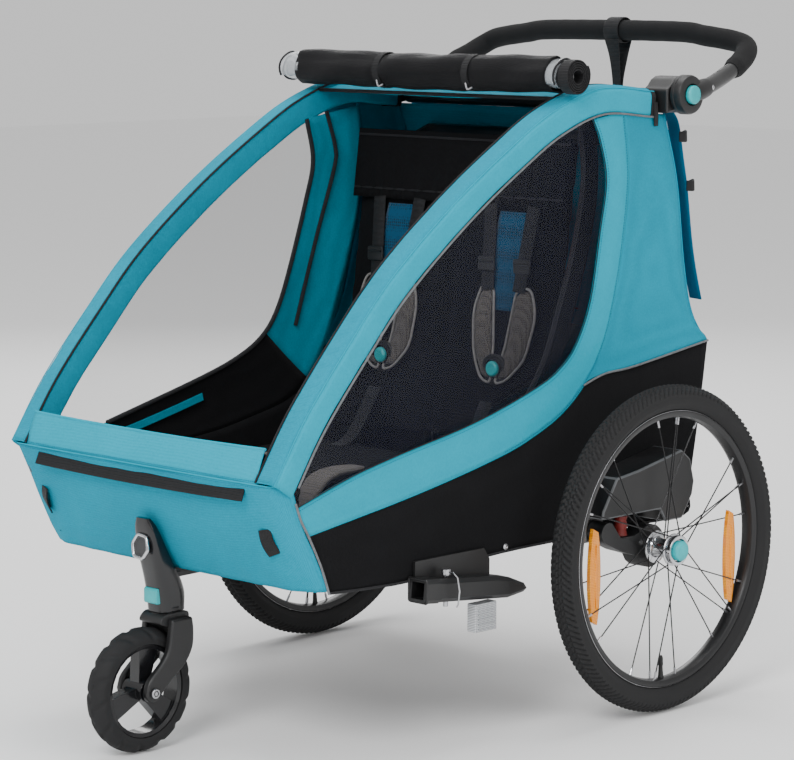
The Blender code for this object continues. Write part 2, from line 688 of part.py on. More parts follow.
def build_hub(side, sign, wheel, rim_low):
    flanges = (0.3575, 0.3915)
    profile = [
        (0.3235, 0), (0.3235, 0.0064), (0.3490, 0.0064), (0.3500, 0.0130), (0.3560, 0.0130),
        (0.3560, 0.0240), (0.3590, 0.0240), (0.3590, 0.0150), (0.3900, 0.0150), (0.3900, 0.0240),
        (0.3930, 0.0240), (0.3960, 0.0225), (0.4030, 0.0225), (0.4030, 0.0160), (0.3950, 0.0160),
        (0.3950, 0),
    ]
    profile = [(sign * along, radius) for along, radius in profile]
    hub = turned(f"{side}_hub_and_spokes", profile, AXLE, wheel, "steel", 20)
    bm = bmesh.new()
    axis = Vector((0, *AXLE))
    for number in range(SPOKES):
        angle = 2 * math.pi * (number + 0.5) / SPOKES
        skew = math.radians(38 if number % 4 < 2 else -38)
        flange_x = flanges[number % 2]
        start = Vector((
            sign * flange_x, 0.0205 * math.sin(angle + skew), 0.0205 * math.cos(angle + skew),
        ))
        end_x = TRACK_HALF + (flange_x - TRACK_HALF) * 0.2
        reach = rim_low * math.cos(math.pi / WHEEL_SEGMENTS) - 0.0006
        end = Vector((sign * end_x, reach * math.sin(angle), reach * math.cos(angle)))
        along = (end - start).normalized()
        across = along.cross(Vector((1, 0, 0))).normalized() * 0.0011
        other = along.cross(across).normalized() * 0.0011
        rings = [
            [axis + point + a * across + b * other for a, b in ((1, 0), (0, 1), (-1, 0), (0, -1))]
            for point in (start, end)
        ]
        loft(bm, rings)
    spokes = finish(bm, f"{side}_spokes", wheel, "steel")
    boolean(hub, spokes, "UNION")


# Front wheel ----------------------------------------------------------------------------------
def build_front_bracket(chassis, button):
    """The curved bracket that plugs in under the nose and holds the front wheel's swivel."""
    outline = [
        (-0.450, 0.1985), (-0.455, 0.240), (-0.465, 0.280), (-0.472, 0.320), (-0.475, 0.330),
        (-0.471, 0.338), (-0.462, 0.338), (-0.452, 0.320), (-0.436, 0.285), (-0.4235, 0.262),
        (-0.4235, 0.2560), (-0.372, 0.2560), (-0.372, 0.248), (-0.405, 0.238), (-0.4035, 0.1985),
    ]
    bracket = prism("front_bracket", outline, -0.023, 0.023, chassis, "black_plastic")
    bevel = bracket.modifiers.new("rounded", "BEVEL")
    bevel.width = 0.005
    bevel.segments = 1
    bevel.limit_method = "ANGLE"
    bevel.angle_limit = math.radians(60)
    pocket_low = (-0.0145, -0.470, 0.2105)
    pocket_high = (0.0145, -0.443, 0.2345)
    boolean(bracket, box("button_pocket", pocket_low, pocket_high, chassis, "steel"), "DIFFERENCE")
    outline = [
        (-0.4575, 0.2135), (-0.4555, 0.2110), (-0.4475, 0.2110), (-0.4475, 0.2340),
        (-0.4555, 0.2340), (-0.4575, 0.2315),
    ]
    prism("front_release_button", outline, -0.014, 0.014, button, "teal_plastic")


def build_caster(caster):
    """The fork: a crown over the tyre and an arm on each side down to the axle."""
    wheel = (FRONT_WHEEL_Y, FRONT_WHEEL_RADIUS)
    under = circle_points(wheel, FRONT_WHEEL_RADIUS + 0.005, 84, 36, 6)
    crown_outline = [(-0.4495, 0.1975), (-0.462, 0.1885), *under, (-0.401, 0.160), (-0.4045, 0.1975)]
    fork = prism("caster_fork", crown_outline, -0.0240, 0.0240, caster, "black_plastic")
    outline = [
        (-0.440, 0.192), (-0.405, 0.192), (-0.403, 0.150), (-0.420, 0.122), (-0.455, 0.098),
        *circle_points(wheel, 0.014, 20, -200, 8), (-0.488, 0.106), (-0.452, 0.140),
    ]
    for side, sign in sides():
        ends = sorted((sign * 0.0230, sign * 0.0340))
        arm = prism(f"{side}_fork_arm", outline, *ends, caster, "black_plastic")
        boolean(fork, arm, "UNION")
    bore = disc("fork_bore", -0.05, 0.05, 0.0043, wheel, caster, "steel", 10)
    boolean(fork, bore, "DIFFERENCE")
    profile = [
        (-0.0385, 0), (-0.0385, 0.0075), (-0.0345, 0.0075), (-0.0345, 0.0038), (0.0345, 0.0038),
        (0.0345, 0.0075), (0.0385, 0.0075), (0.0385, 0),
    ]
    turned("front_axle_bolt", profile, wheel, caster, "steel", 10)


def build_front_wheel(spin):
    """A three-spoke wheel and its chunky tyre."""
    centre = (FRONT_WHEEL_Y, FRONT_WHEEL_RADIUS)
    segments = 28
    top = FRONT_WHEEL_RADIUS / math.cos(math.pi / segments)
    tyre = [
        (-0.0150, 0.0675), (-0.0205, 0.0760), (-0.0150, top - 0.0025), (-0.0060, top),
        (0.0060, top), (0.0150, top - 0.0025), (0.0205, 0.0760), (0.0150, 0.0675),
    ]
    turned("front_tyre", tyre, centre, spin, "rubber", segments, ring=True)
    rim = [(-0.0140, 0.0610), (-0.0160, 0.0670), (0.0160, 0.0670), (0.0140, 0.0610)]
    front = turned("front_wheel", rim, centre, spin, "gloss_plastic", segments, ring=True)
    hub = [(-0.0200, 0.0043), (-0.0200, 0.0150), (0.0200, 0.0150), (0.0200, 0.0043)]
    hub_ring = turned("front_hub", hub, centre, spin, "gloss_plastic", 14, ring=True)
    for number in range(3):
        angle = math.radians(120 * number + 80)
        along = Vector((math.cos(angle), math.sin(angle)))
        across = Vector((-along.y, along.x))
        middle = Vector(centre)
        outline = [
            middle + along * distance + across * width
            for distance, width in (
                (0.010, -0.010), (0.063, -0.017), (0.063, 0.017), (0.010, 0.010),
            )
        ]
        spoke = prism(f"front_spoke_{number}", outline, -0.010, 0.010, spin, "gloss_plastic")
        boolean(front, spoke, "UNION")
    boolean(front, hub_ring, "UNION")


# Drawbar receiver -----------------------------------------------------------------------------
def build_receiver(chassis, pin_body):
    """The socket on the left rail that takes the drawbar, pitched a little down to the rear."""
    mouth = Vector((RECEIVER_X, *RECEIVER_MOUTH))
    turn = Matrix.Rotation(RECEIVER_PITCH, 3, "X")
    bm = bmesh.new()
    rings = []
    for along, half_x, low, high in (
        (0.0, 0.0185, -0.0175, 0.0175), (0.030, 0.0185, -0.0175, 0.0175),
        (0.034, 0.0170, -0.0165, 0.0165), (0.150, 0.0170, -0.0165, 0.0165),
        (0.178, 0.0170, -0.0165, 0.0135), (RECEIVER_LENGTH, 0.0140, -0.0100, 0.0030),
    ):
        cut = 0.006
        section = [
            (-half_x, low + cut), (-half_x + cut, low), (half_x - cut, low), (half_x, low + cut),
            (half_x, high - cut), (half_x - cut, high), (-half_x + cut, high), (-half_x, high - cut),
        ]
        rings.append([mouth + turn @ Vector((x, along, z)) for x, z in section])
    loft(bm, rings)
    receiver = finish(bm, "drawbar_receiver", chassis, "black_plastic")
    plate_outline = [
        (-0.215, 0.240), (-0.215, 0.279), (-0.072, 0.279), (-0.060, 0.262), (-0.060, 0.225),
    ]
    ends = (SIDE_X + GAP, SIDE_X + 0.0055)
    plate = prism("receiver_plate", plate_outline, *ends, chassis, "black_plastic")
    boolean(receiver, plate, "UNION")
    bm = bmesh.new()
    half = 0.012
    corners = [(-half, -half), (half, -half), (half, half), (-half, half)]
    loft(bm, [[mouth + turn @ Vector((x, y, z)) for x, z in corners] for y in (-0.02, 0.125)])
    boolean(receiver, finish(bm, "socket", chassis, "steel"), "DIFFERENCE")
    pin_centre = (RECEIVER_X, LOCK_PIN_Y)
    hole = disc("pin_hole", 0.200, 0.290, 0.0046, pin_centre, chassis, "steel", 10, axis="Z")
    boolean(receiver, hole, "DIFFERENCE")
    reflector_low = (RECEIVER_X - 0.004, -0.119, 0.165)
    reflector_high = (RECEIVER_X + 0.014, -0.075, 0.2065)
    box("side_reflector", reflector_low, reflector_high, chassis, "clear_plastic")
    build_lock_pin(pin_body)


def build_lock_pin(pin_body):
    """A pin dropped through the receiver, with a wire bail that hangs outside it."""
    profile = [
        (0.2100, 0), (0.2100, 0.0036), (0.2560, 0.0036), (0.2560, 0.0070), (0.2640, 0.0070),
        (0.2640, 0),
    ]
    pin = turned("lock_pin", profile, (RECEIVER_X, LOCK_PIN_Y), pin_body, "steel", 10, axis="Z")
    x, y = RECEIVER_X, LOCK_PIN_Y
    bail = [
        (x + 0.003, y, 0.2600), (x + 0.014, y + 0.001, 0.2600), (x + 0.0215, y + 0.002, 0.2540),
        (x + 0.0245, y + 0.003, 0.2350), (x + 0.0220, y + 0.003, 0.2160),
        (x + 0.0190, y + 0.003, 0.2110),
    ]
    wire = tube("bail_wire", bail, 0.0012, pin_body, "steel", 6)
    boolean(pin, wire, "UNION")


# Assembly -------------------------------------------------------------------------------------
def build():
    clear_scene()
    chassis = body("chassis")
    arch = body("arch", (0, *FOLD_PIVOT))
    rear = body("rear_support", (0, *REAR_PIVOT))
    handle = body("handle", (0, *HANDLE_PIVOT), arch)
    build_chassis(chassis)
    build_brake(body("parking_brake", (0, *BRAKE_PIVOT)))
    build_cover(chassis)
    backrest = body("backrest", (0, *SEAT_PIVOT))
    build_seats(chassis, backrest)
    build_arch(arch)
    build_rear_frame(rear)
    build_handlebar(handle, body("strap", (0, *grip_middle()), handle))
    for side, sign in sides():
        knob = body(f"{side}_tilt_release", (sign * 0.33, *HANDLE_PIVOT), handle)
        build_tilt_button(side, sign, knob)
        buckle = body(f"{side}_buckle_release", (sign * HARNESS_X, 0.135, 0.505), backrest)
        build_harness(side, sign, backrest, buckle)
        swing = body(f"{side}_swing", (sign * 0.33, *SWING_PIVOT))
        build_suspension(side, sign, chassis, swing)
        wheel = body(f"{side}_wheel", (sign * TRACK_HALF, *AXLE), swing)
        release = body(f"{side}_wheel_release", (sign * 0.41, *AXLE), wheel)
        build_wheel(side, sign, wheel, release)
    build_front_bracket(chassis, body("front_release", (0, -0.452, 0.2225)))
    caster = body("caster", (0, SWIVEL_Y, 0.198))
    build_caster(caster)
    build_front_wheel(body("front_spin", (0, FRONT_WHEEL_Y, FRONT_WHEEL_RADIUS), caster))
    build_receiver(chassis, body("lock", (RECEIVER_X, LOCK_PIN_Y, 0.260)))


build()
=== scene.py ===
"""The looks of a two-seat child bicycle trailer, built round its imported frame.

Metres, +Z up. The nose points to -Y and the left side is at +X, as in the frame.
"""

import json
import math

import bmesh
import bpy
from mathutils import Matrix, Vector, noise

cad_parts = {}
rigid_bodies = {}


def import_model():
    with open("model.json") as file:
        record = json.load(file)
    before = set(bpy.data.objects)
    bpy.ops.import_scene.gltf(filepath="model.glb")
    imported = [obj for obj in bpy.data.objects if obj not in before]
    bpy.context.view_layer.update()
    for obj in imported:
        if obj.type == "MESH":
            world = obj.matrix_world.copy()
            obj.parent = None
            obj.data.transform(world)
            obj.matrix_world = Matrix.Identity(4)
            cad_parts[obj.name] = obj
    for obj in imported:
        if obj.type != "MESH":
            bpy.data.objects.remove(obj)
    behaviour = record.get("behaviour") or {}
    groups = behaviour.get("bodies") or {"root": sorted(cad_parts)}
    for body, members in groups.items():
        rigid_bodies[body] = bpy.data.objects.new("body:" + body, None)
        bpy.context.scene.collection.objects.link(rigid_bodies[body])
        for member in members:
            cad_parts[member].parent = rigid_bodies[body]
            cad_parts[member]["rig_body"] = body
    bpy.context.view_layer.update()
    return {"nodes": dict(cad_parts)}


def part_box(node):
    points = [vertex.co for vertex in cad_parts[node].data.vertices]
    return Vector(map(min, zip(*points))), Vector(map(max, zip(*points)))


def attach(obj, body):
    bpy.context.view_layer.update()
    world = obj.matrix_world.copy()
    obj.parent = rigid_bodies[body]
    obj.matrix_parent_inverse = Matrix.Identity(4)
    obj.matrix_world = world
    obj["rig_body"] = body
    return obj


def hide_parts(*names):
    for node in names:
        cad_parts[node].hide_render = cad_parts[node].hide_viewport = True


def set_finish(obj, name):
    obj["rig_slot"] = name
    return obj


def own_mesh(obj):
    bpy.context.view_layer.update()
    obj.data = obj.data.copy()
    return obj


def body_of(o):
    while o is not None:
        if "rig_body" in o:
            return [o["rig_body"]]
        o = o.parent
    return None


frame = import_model()
nodes = frame["nodes"]

# Lines of the side view, as (y, z) ------------------------------------------------------------
ARCH_LINE = [
    (-0.483, 0.420), (-0.422, 0.509), (-0.335, 0.607), (-0.254, 0.689), (-0.131, 0.783),
    (-0.007, 0.861), (0.085, 0.909), (0.189, 0.938), (0.310, 0.930),
]
WINDOW_LOW_LINE = [
    (-0.4409, 0.3838), (-0.338, 0.414), (-0.239, 0.435), (-0.117, 0.457), (-0.033, 0.477),
    (0.054, 0.504), (0.098, 0.525), (0.132, 0.556), (0.164, 0.620), (0.185, 0.724),
    (0.198, 0.797), (0.183, 0.857), (0.166, 0.889),
]
BAND_OUTER_LINE = [
    (-0.420, 0.341), (-0.330, 0.354), (-0.230, 0.369), (-0.128, 0.387), (-0.022, 0.409),
    (0.040, 0.428), (0.104, 0.456), (0.160, 0.500), (0.200, 0.560), (0.226, 0.640),
    (0.243, 0.730), (0.250, 0.810), (0.238, 0.898),
]
BLACK_TOP_LINE = BAND_OUTER_LINE[:8] + [(0.270, 0.512), (0.445, 0.536)]
BLACK_LOW_LINE = [
    (-0.378, 0.257), (-0.300, 0.253), (-0.212, 0.252), (-0.060, 0.265), (0.100, 0.267),
    (0.240, 0.268), (0.390, 0.268), (0.402, 0.300),
]
REAR_LINE = [(0.445, 0.536), (0.410, 0.585), (0.390, 0.660), (0.370, 0.790), (0.338, 0.891)]

SIDE_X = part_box("left_side_panel")[1][0]
ARCH_INNER_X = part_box("left_arch_sleeve")[0][0]
ARCH_OUTER_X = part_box("left_arch_sleeve")[1][0]
ARCH_DEPTH = 0.042
THREAD = 0.0016
CLOTH_FRAMES = 20


# Camera, light and floor ----------------------------------------------------------------------
def build_camera():
    data = bpy.data.cameras.new("camera")
    data.sensor_width = 36.0
    data.lens = 133.4
    data.shift_x = 0.0399
    data.shift_y = -0.0355
    data.clip_end = 60.0
    camera = bpy.data.objects.new("camera", data)
    bpy.context.scene.collection.objects.link(camera)
    camera.location = (3.12975, -3.14840, 1.09929)
    camera.rotation_euler = (math.pi / 2 - 0.12711, 0.0, 0.78619)
    bpy.context.scene.camera = camera


def build_light(name, place, size, power):
    data = bpy.data.lights.new(name, "AREA")
    data.shape = "DISK"
    data.size = size
    data.energy = power
    light = bpy.data.objects.new(name, data)
    bpy.context.scene.collection.objects.link(light)
    light.location = place
    aim = Vector((0.0, 0.0, 0.45)) - Vector(place)
    light.rotation_euler = aim.to_track_quat("-Z", "Y").to_euler()


def build_studio():
    build_light("key_light", (1.6, -3.6, 3.4), 2.0, 150.0)
    build_light("fill_light", (4.0, -0.4, 1.8), 2.6, 45.0)
    build_light("top_light", (-0.5, 0.6, 4.2), 2.8, 90.0)
    build_light("rim_light", (-3.0, 2.6, 2.2), 2.0, 40.0)
    world = bpy.data.worlds.new("studio")
    world.use_nodes = True
    world.node_tree.nodes["Background"].inputs["Color"].default_value = (1.0, 1.0, 1.0, 1.0)
    world.node_tree.nodes["Background"].inputs["Strength"].default_value = 0.80
    bpy.context.scene.world = world
    mesh = bpy.data.meshes.new("floor")
    reach = 14.0
    mesh.from_pydata(
        [(-reach, -reach, -0.0005), (reach, -reach, -0.0005), (reach, reach, -0.0005),
         (-reach, reach, -0.0005)],
        [], [(0, 1, 2, 3)],
    )
    floor = bpy.data.objects.new("floor", mesh)
    bpy.context.scene.collection.objects.link(floor)
    mesh.materials.append(paint("pale_floor", (0.93, 0.93, 0.93), 0.85).material)


# Materials ------------------------------------------------------------------------------------
class Paint:
    """A Principled material whose textures lie in the part's own coordinates, in metres."""

    def __init__(self, name, colour, roughness, metallic=0.0, **sockets):
        self.material = bpy.data.materials.new(name)
        self.material.use_nodes = True
        self.tree = self.material.node_tree
        self.shader = self.tree.nodes["Principled BSDF"]
        self.set("Base Color", (*colour, 1.0))
        self.set("Roughness", roughness)
        self.set("Metallic", metallic)
        for key, value in sockets.items():
            self.set(key.replace("_", " "), value)
        self.place = self.tree.nodes.new("ShaderNodeTexCoord").outputs["Object"]
        self.material.diffuse_color = (*colour, 1.0)

    def set(self, socket, value):
        self.shader.inputs[socket].default_value = value

    def link(self, output, target):
        self.tree.links.new(output, target)

    def noise(self, scale, detail=2.0, stretch=None):
        made = self.tree.nodes.new("ShaderNodeTexNoise")
        made.inputs["Scale"].default_value = scale
        made.inputs["Detail"].default_value = detail
        place = self.place
        if stretch:
            mapping = self.tree.nodes.new("ShaderNodeMapping")
            mapping.inputs["Scale"].default_value = stretch
            self.link(self.place, mapping.inputs["Vector"])
            place = mapping.outputs["Vector"]
        self.link(place, made.inputs["Vector"])
        return made.outputs["Fac"]

    def wave(self, axis, pitch):
        made = self.tree.nodes.new("ShaderNodeTexWave")
        made.bands_direction = axis
        made.inputs["Scale"].default_value = 2 * math.pi / (20.0 * pitch)
        made.inputs["Distortion"].default_value = 0.0
        self.link(self.place, made.inputs["Vector"])
        return made.outputs["Fac"]

    def cells(self, size, feature="F1", randomness=1.0):
        made = self.tree.nodes.new("ShaderNodeTexVoronoi")
        made.feature = feature
        made.inputs["Scale"].default_value = 1.0 / size
        made.inputs["Randomness"].default_value = randomness
        self.link(self.place, made.inputs["Vector"])
        return made.outputs["Distance"]

    def maths(self, operation, first, second=0.0, clamp=False):
        made = self.tree.nodes.new("ShaderNodeMath")
        made.operation = operation
        made.use_clamp = clamp
        for socket, value in zip(made.inputs, (first, second)):
            if isinstance(value, (int, float)):
                socket.default_value = value
            else:
                self.link(value, socket)
        return made.outputs["Value"]

    def spread(self, value, low, high, to_low=0.0, to_high=1.0):
        made = self.tree.nodes.new("ShaderNodeMapRange")
        self.link(value, made.inputs["Value"])
        for key, number in zip(
            ("From Min", "From Max", "To Min", "To Max"), (low, high, to_low, to_high)
        ):
            made.inputs[key].default_value = number
        return made.outputs["Result"]

    def blend(self, factor, first, second):
        made = self.tree.nodes.new("ShaderNodeMix")
        made.data_type = "RGBA"
        self.link(factor, made.inputs[0])
        for socket, value in ((made.inputs[6], first), (made.inputs[7], second)):
            if isinstance(value, tuple):
                socket.default_value = (*value, 1.0)
            else:
                self.link(value, socket)
        return made.outputs[2]

    def colour(self, output):
        self.link(output, self.shader.inputs["Base Color"])
        return self

    def rough(self, output):
        self.link(output, self.shader.inputs["Roughness"])
        return self

    def bump(self, height, distance, strength=1.0):
        made = self.tree.nodes.new("ShaderNodeBump")
        made.inputs["Distance"].default_value = distance
        made.inputs["Strength"].default_value = strength
        self.link(height, made.inputs["Height"])
        self.link(made.outputs["Normal"], self.shader.inputs["Normal"])
        return self


def paint(name, colour, roughness, metallic=0.0, **sockets):
    return Paint(name, colour, roughness, metallic, **sockets)


def shade(colour, factor):
    return tuple(min(1.0, channel * factor) for channel in colour)


def woven(name, colour, roughness=0.82, pitch=THREAD, sheen=0.02, contrast=0.22):
    """Plain-woven cloth: threads both ways, slubs, a soft mottle and small creases."""
    made = paint(
        name, colour, roughness, Sheen_Weight=sheen, Sheen_Roughness=0.45, Specular_IOR_Level=0.08,
    )
    threads = made.maths("ADD", made.wave("X", pitch), made.wave("Y", pitch))
    threads = made.maths("ADD", threads, made.wave("Z", pitch))
    slubs = made.noise(340.0, 2.0)
    mottle = made.noise(9.0, 4.0)
    tone = made.maths("ADD", made.spread(threads, 0.0, 3.0, 0.0, 0.55),
                      made.spread(slubs, 0.3, 0.7, 0.0, 0.3))
    tone = made.maths("ADD", tone, made.spread(mottle, 0.3, 0.7, 0.0, 0.3), clamp=True)
    made.colour(made.blend(tone, shade(colour, 1.0 - contrast), shade(colour, 1.0 + contrast)))
    height = made.maths("ADD", made.maths("MULTIPLY", threads, 0.35), made.maths("MULTIPLY", slubs, 0.6))
    height = made.maths("ADD", height, made.maths("MULTIPLY", made.noise(38.0, 3.0), 2.4))
    made.rough(made.spread(mottle, 0.2, 0.8, roughness - 0.08, min(1.0, roughness + 0.08)))
    return made.bump(height, 0.0006).material


def webbing(name, colour, pitch=0.0022):
    """Narrow belt cloth with ribs across it."""
    made = paint(name, colour, 0.68, Sheen_Weight=0.03, Specular_IOR_Level=0.25)
    ribs = made.maths("ADD", made.wave("Z", pitch), made.wave("Y", pitch * 0.7))
    tone = made.maths("ADD", made.spread(ribs, 0.0, 2.0, 0.0, 0.6),
                      made.spread(made.noise(160.0), 0.3, 0.7, 0.0, 0.4))
    made.colour(made.blend(tone, shade(colour, 0.65), shade(colour, 1.5)))
    return made.bump(ribs, 0.0004).material


def knit(name, colour, hole=0.0032):
    """Padded spacer mesh: rows of small round holes in a soft knit."""
    made = paint(name, colour, 0.9, Sheen_Weight=0.08, Specular_IOR_Level=0.15)
    # The holes are painted near black: painted shade in them.
    holes = made.spread(made.cells(hole, "F1", 0.25), 0.15, 0.5)
    fuzz = made.noise(900.0, 2.0)
    tone = made.maths("MULTIPLY", holes, made.spread(fuzz, 0.2, 0.8, 0.75, 1.0), clamp=True)
    made.colour(made.blend(tone, shade(colour, 0.28), shade(colour, 1.35)))
    return made.bump(made.maths("ADD", holes, made.maths("MULTIPLY", fuzz, 0.4)), 0.0009).material


def moulded(name, colour, roughness, grain=0.0009, depth=0.00012, **sockets):
    """Injection-moulded plastic with a fine spark-eroded grain and light scuffs."""
    made = paint(name, colour, roughness, **sockets)
    pits = made.cells(grain)
    scuffs = made.noise(26.0, 5.0)
    made.rough(made.spread(scuffs, 0.25, 0.75, roughness - 0.07, roughness + 0.10))
    made.colour(made.blend(made.spread(scuffs, 0.45, 0.8), colour, shade(colour, 1.5)))
    return made.bump(made.maths("ADD", pits, made.maths("MULTIPLY", scuffs, 0.5)), depth).material


def metal(name, colour, roughness, brushed=(1.0, 1.0, 1.0), metallic=1.0):
    """Metal with turning or drawing marks along one direction and faint stains."""
    made = paint(name, colour, roughness, metallic)
    marks = made.noise(700.0, 3.0, brushed)
    stains = made.noise(30.0, 4.0)
    made.rough(made.spread(marks, 0.2, 0.8, roughness * 0.7, roughness * 1.4))
    made.colour(made.blend(made.spread(stains, 0.3, 0.8), colour, shade(colour, 0.78)))
    return made.bump(marks, 0.00006).material


def powder_coat(name, colour, roughness):
    """Powder-coated tube: orange-peel ripple and a few polished spots."""
    made = paint(name, colour, roughness, 0.0, Coat_Weight=0.25, Coat_Roughness=0.25)
    peel = made.noise(420.0, 2.0)
    wear = made.noise(18.0, 5.0)
    made.rough(made.spread(wear, 0.3, 0.75, roughness - 0.08, roughness + 0.10))
    made.colour(made.blend(made.spread(wear, 0.5, 0.85), colour, shade(colour, 1.8)))
    return made.bump(peel, 0.00015).material


def rubber(name, colour, roughness=0.78):
    """Tyre rubber: fine pores, dust in the low places."""
    made = paint(name, colour, roughness, Specular_IOR_Level=0.35)
    pores = made.noise(900.0, 2.0)
    dust = made.noise(24.0, 5.0)
    made.rough(made.spread(dust, 0.3, 0.7, roughness - 0.10, roughness + 0.08))
    made.colour(made.blend(made.spread(dust, 0.35, 0.8), colour, shade(colour, 1.9)))
    return made.bump(made.maths("ADD", pores, made.maths("MULTIPLY", dust, 0.7)), 0.00018).material


def foam(name, colour):
    made = paint(name, colour, 0.92, Sheen_Weight=0.04, Specular_IOR_Level=0.15)
    # Each pore is painted darker than the foam round it: painted shade in the pores.
    bubbles = made.cells(0.0011)
    made.colour(made.blend(made.spread(bubbles, 0.1, 0.7), shade(colour, 0.5), shade(colour, 1.6)))
    return made.bump(bubbles, 0.0005).material


def film(name, colour, alpha, roughness):
    """Clear cover film: a faint haze, soft ripples and a gloss that comes and goes."""
    made = paint(name, colour, roughness, Alpha=alpha, Specular_IOR_Level=0.35)
    haze = made.noise(6.0, 4.0)
    ripple = made.noise(14.0, 2.0, (1.0, 0.6, 1.6))
    made.rough(made.spread(haze, 0.3, 0.7, roughness * 0.6, roughness * 1.6))
    made.colour(made.blend(made.spread(haze, 0.3, 0.7), colour, shade(colour, 1.4)))
    made.bump(ripple, 0.004, 0.35)
    return made.material


def prismatic(name, colour, glow, lit=0.0):
    """Reflector plastic: a grid of tiny corner prisms behind a glossy face. The grid is painted from a darker shade
    of the colour to the glow colour, as painted shade and glints on the prisms, and lit is a painted glow, though a
    reflector is no lamp.
    """
    made = paint(name, colour, 0.16, Coat_Weight=0.4, Coat_Roughness=0.06, Specular_IOR_Level=0.5)
    made.set("Emission Color", (*glow, 1.0))
    made.set("Emission Strength", lit)
    prisms = made.maths("MULTIPLY", made.wave("Y", 0.0028), made.wave("Z", 0.0024))
    made.colour(made.blend(made.spread(prisms, 0.05, 0.6), shade(colour, 0.62), glow))
    return made.bump(prisms, 0.0008).material


TEAL = (0.000, 0.265, 0.385)
BLACK_CLOTH = (0.0070, 0.0070, 0.0078)
BLACK_PLASTIC = (0.0075, 0.0075, 0.0080)


def build_materials():
    return {
        "teal": woven("teal_cloth", TEAL),
        # Lighter teal: the band under each window, the nose's top band and seams, and on the arch sleeves painted
        # light on their sideways faces.
        "teal_bright": woven("teal_cloth_light", (0.000, 0.345, 0.480), contrast=0.14),
        # Darker teal: the thread of the stitches, and painted shade on the rear corner flaps.
        "teal_dark": woven("teal_cloth_dark_thread_and_shade", (0.000, 0.110, 0.200)),
        "black": woven("black_cloth", BLACK_CLOTH, 0.88, sheen=0.02, contrast=0.4),
        "grey": knit("grey_mesh_padding", (0.085, 0.077, 0.070)),
        "blue_mesh": knit("blue_mesh", (0.004, 0.050, 0.105), 0.0045),
        "teal_lining": woven("teal_cloth_lining", (0.000, 0.225, 0.320), contrast=0.3),
        "seat": woven("seat_cloth", (0.0055, 0.0055, 0.0062), 0.9, sheen=0.01, contrast=0.45),
        "roll": woven("cover_roll_cloth_black", (0.0070, 0.0070, 0.0080), 0.5, pitch=0.0011, sheen=0.04,
                      contrast=0.2),
        "pad_piping": webbing("pad_piping", (0.23, 0.22, 0.21), 0.0016),
        "rubber_smooth": rubber("valve_rubber", (0.010, 0.010, 0.010), 0.45),
        "webbing": webbing("black_webbing", (0.010, 0.010, 0.011)),
        "piping": webbing("grey_piping", (0.16, 0.17, 0.18), 0.0016),
        "dark_piping": webbing("black_piping", (0.012, 0.012, 0.014), 0.0016),
        "film": film("clear_film", (0.012, 0.014, 0.030), 0.15, 0.20),
        # The rolled clear film is pale grey and half opaque: painted reflection, for the silvery look of its
        # crumpled layers.
        "film_roll": film("rolled_film", (0.42, 0.44, 0.46), 0.38, 0.12),
        "frame": powder_coat("black_powder_coat", (0.0075, 0.0075, 0.0080), 0.38),
        "plastic": moulded("black_moulding", BLACK_PLASTIC, 0.42),
        "soft_plastic": moulded("grey_black_moulding", (0.030, 0.031, 0.033), 0.5),
        # Lighter grey for the suspension housing's rounded edges: a painted highlight.
        "edge_highlight_plastic": moulded("edge_highlight_moulding", (0.10, 0.105, 0.11), 0.45),
        "gloss": moulded("gloss_black_moulding", (0.006, 0.006, 0.007), 0.17, 0.004, 0.00006),
        "teal_plastic": moulded("teal_moulding", (0.010, 0.360, 0.390), 0.3),
        # The orange reflectors glow faintly: painted light, as a reflector is no lamp.
        "orange": prismatic("orange_reflector", (1.0, 0.24, 0.0), (1.0, 0.40, 0.0), 0.22),
        "clear_reflector": prismatic("clear_reflector", (0.40, 0.42, 0.44), (0.75, 0.77, 0.80)),
        "rubber": rubber("tyre_rubber", (0.0085, 0.0085, 0.0090)),
        "rim": metal("black_rim", (0.020, 0.020, 0.021), 0.32, metallic=0.4),
        "spoke": metal("black_spoke", (0.018, 0.018, 0.019), 0.30, metallic=0.6),
        "chrome": metal("polished_hub", (0.62, 0.63, 0.65), 0.16, (1.0, 0.05, 0.05)),
        "steel": metal("plated_steel", (0.55, 0.55, 0.57), 0.28),
        "foam": foam("grip_foam", (0.0090, 0.0090, 0.0095)),
        "elastomer": rubber("red_elastomer", (0.12, 0.010, 0.008), 0.45),
    }


# Geometry helpers -----------------------------------------------------------------------------
def smooth_line(points, steps):
    """A Catmull-Rom curve through the points, in two or three dimensions."""
    vectors = [Vector(point) for point in points]
    padded = [2 * vectors[0] - vectors[1], *vectors, 2 * vectors[-1] - vectors[-2]]
    curve = []
    for a, b, c, d in zip(padded, padded[1:], padded[2:], padded[3:]):
        for step in range(steps):
            t = step / steps
            curve.append(0.5 * (
                2 * b + (c - a) * t + (2 * a - 5 * b + 4 * c - d) * t**2
                + (3 * b - a - 3 * c + d) * t**3
            ))
    return [*curve, vectors[-1]]


def length_of(line):
    return sum((Vector(b) - Vector(a)).length for a, b in zip(line, line[1:]))


def even(line, count):
    """The same line as evenly spaced points."""
    points = [Vector(point) for point in line]
    total = length_of(points)
    made = [points[0].copy()]
    index, walked = 0, 0.0
    for number in range(1, count - 1):
        target = total * number / (count - 1)
        while index < len(points) - 2 and walked + (points[index + 1] - points[index]).length < target:
            walked += (points[index + 1] - points[index]).length
            index += 1
        span = (points[index + 1] - points[index]).length
        share = (target - walked) / span if span else 0.0
        made.append(points[index].lerp(points[index + 1], share))
    return [*made, points[-1].copy()]


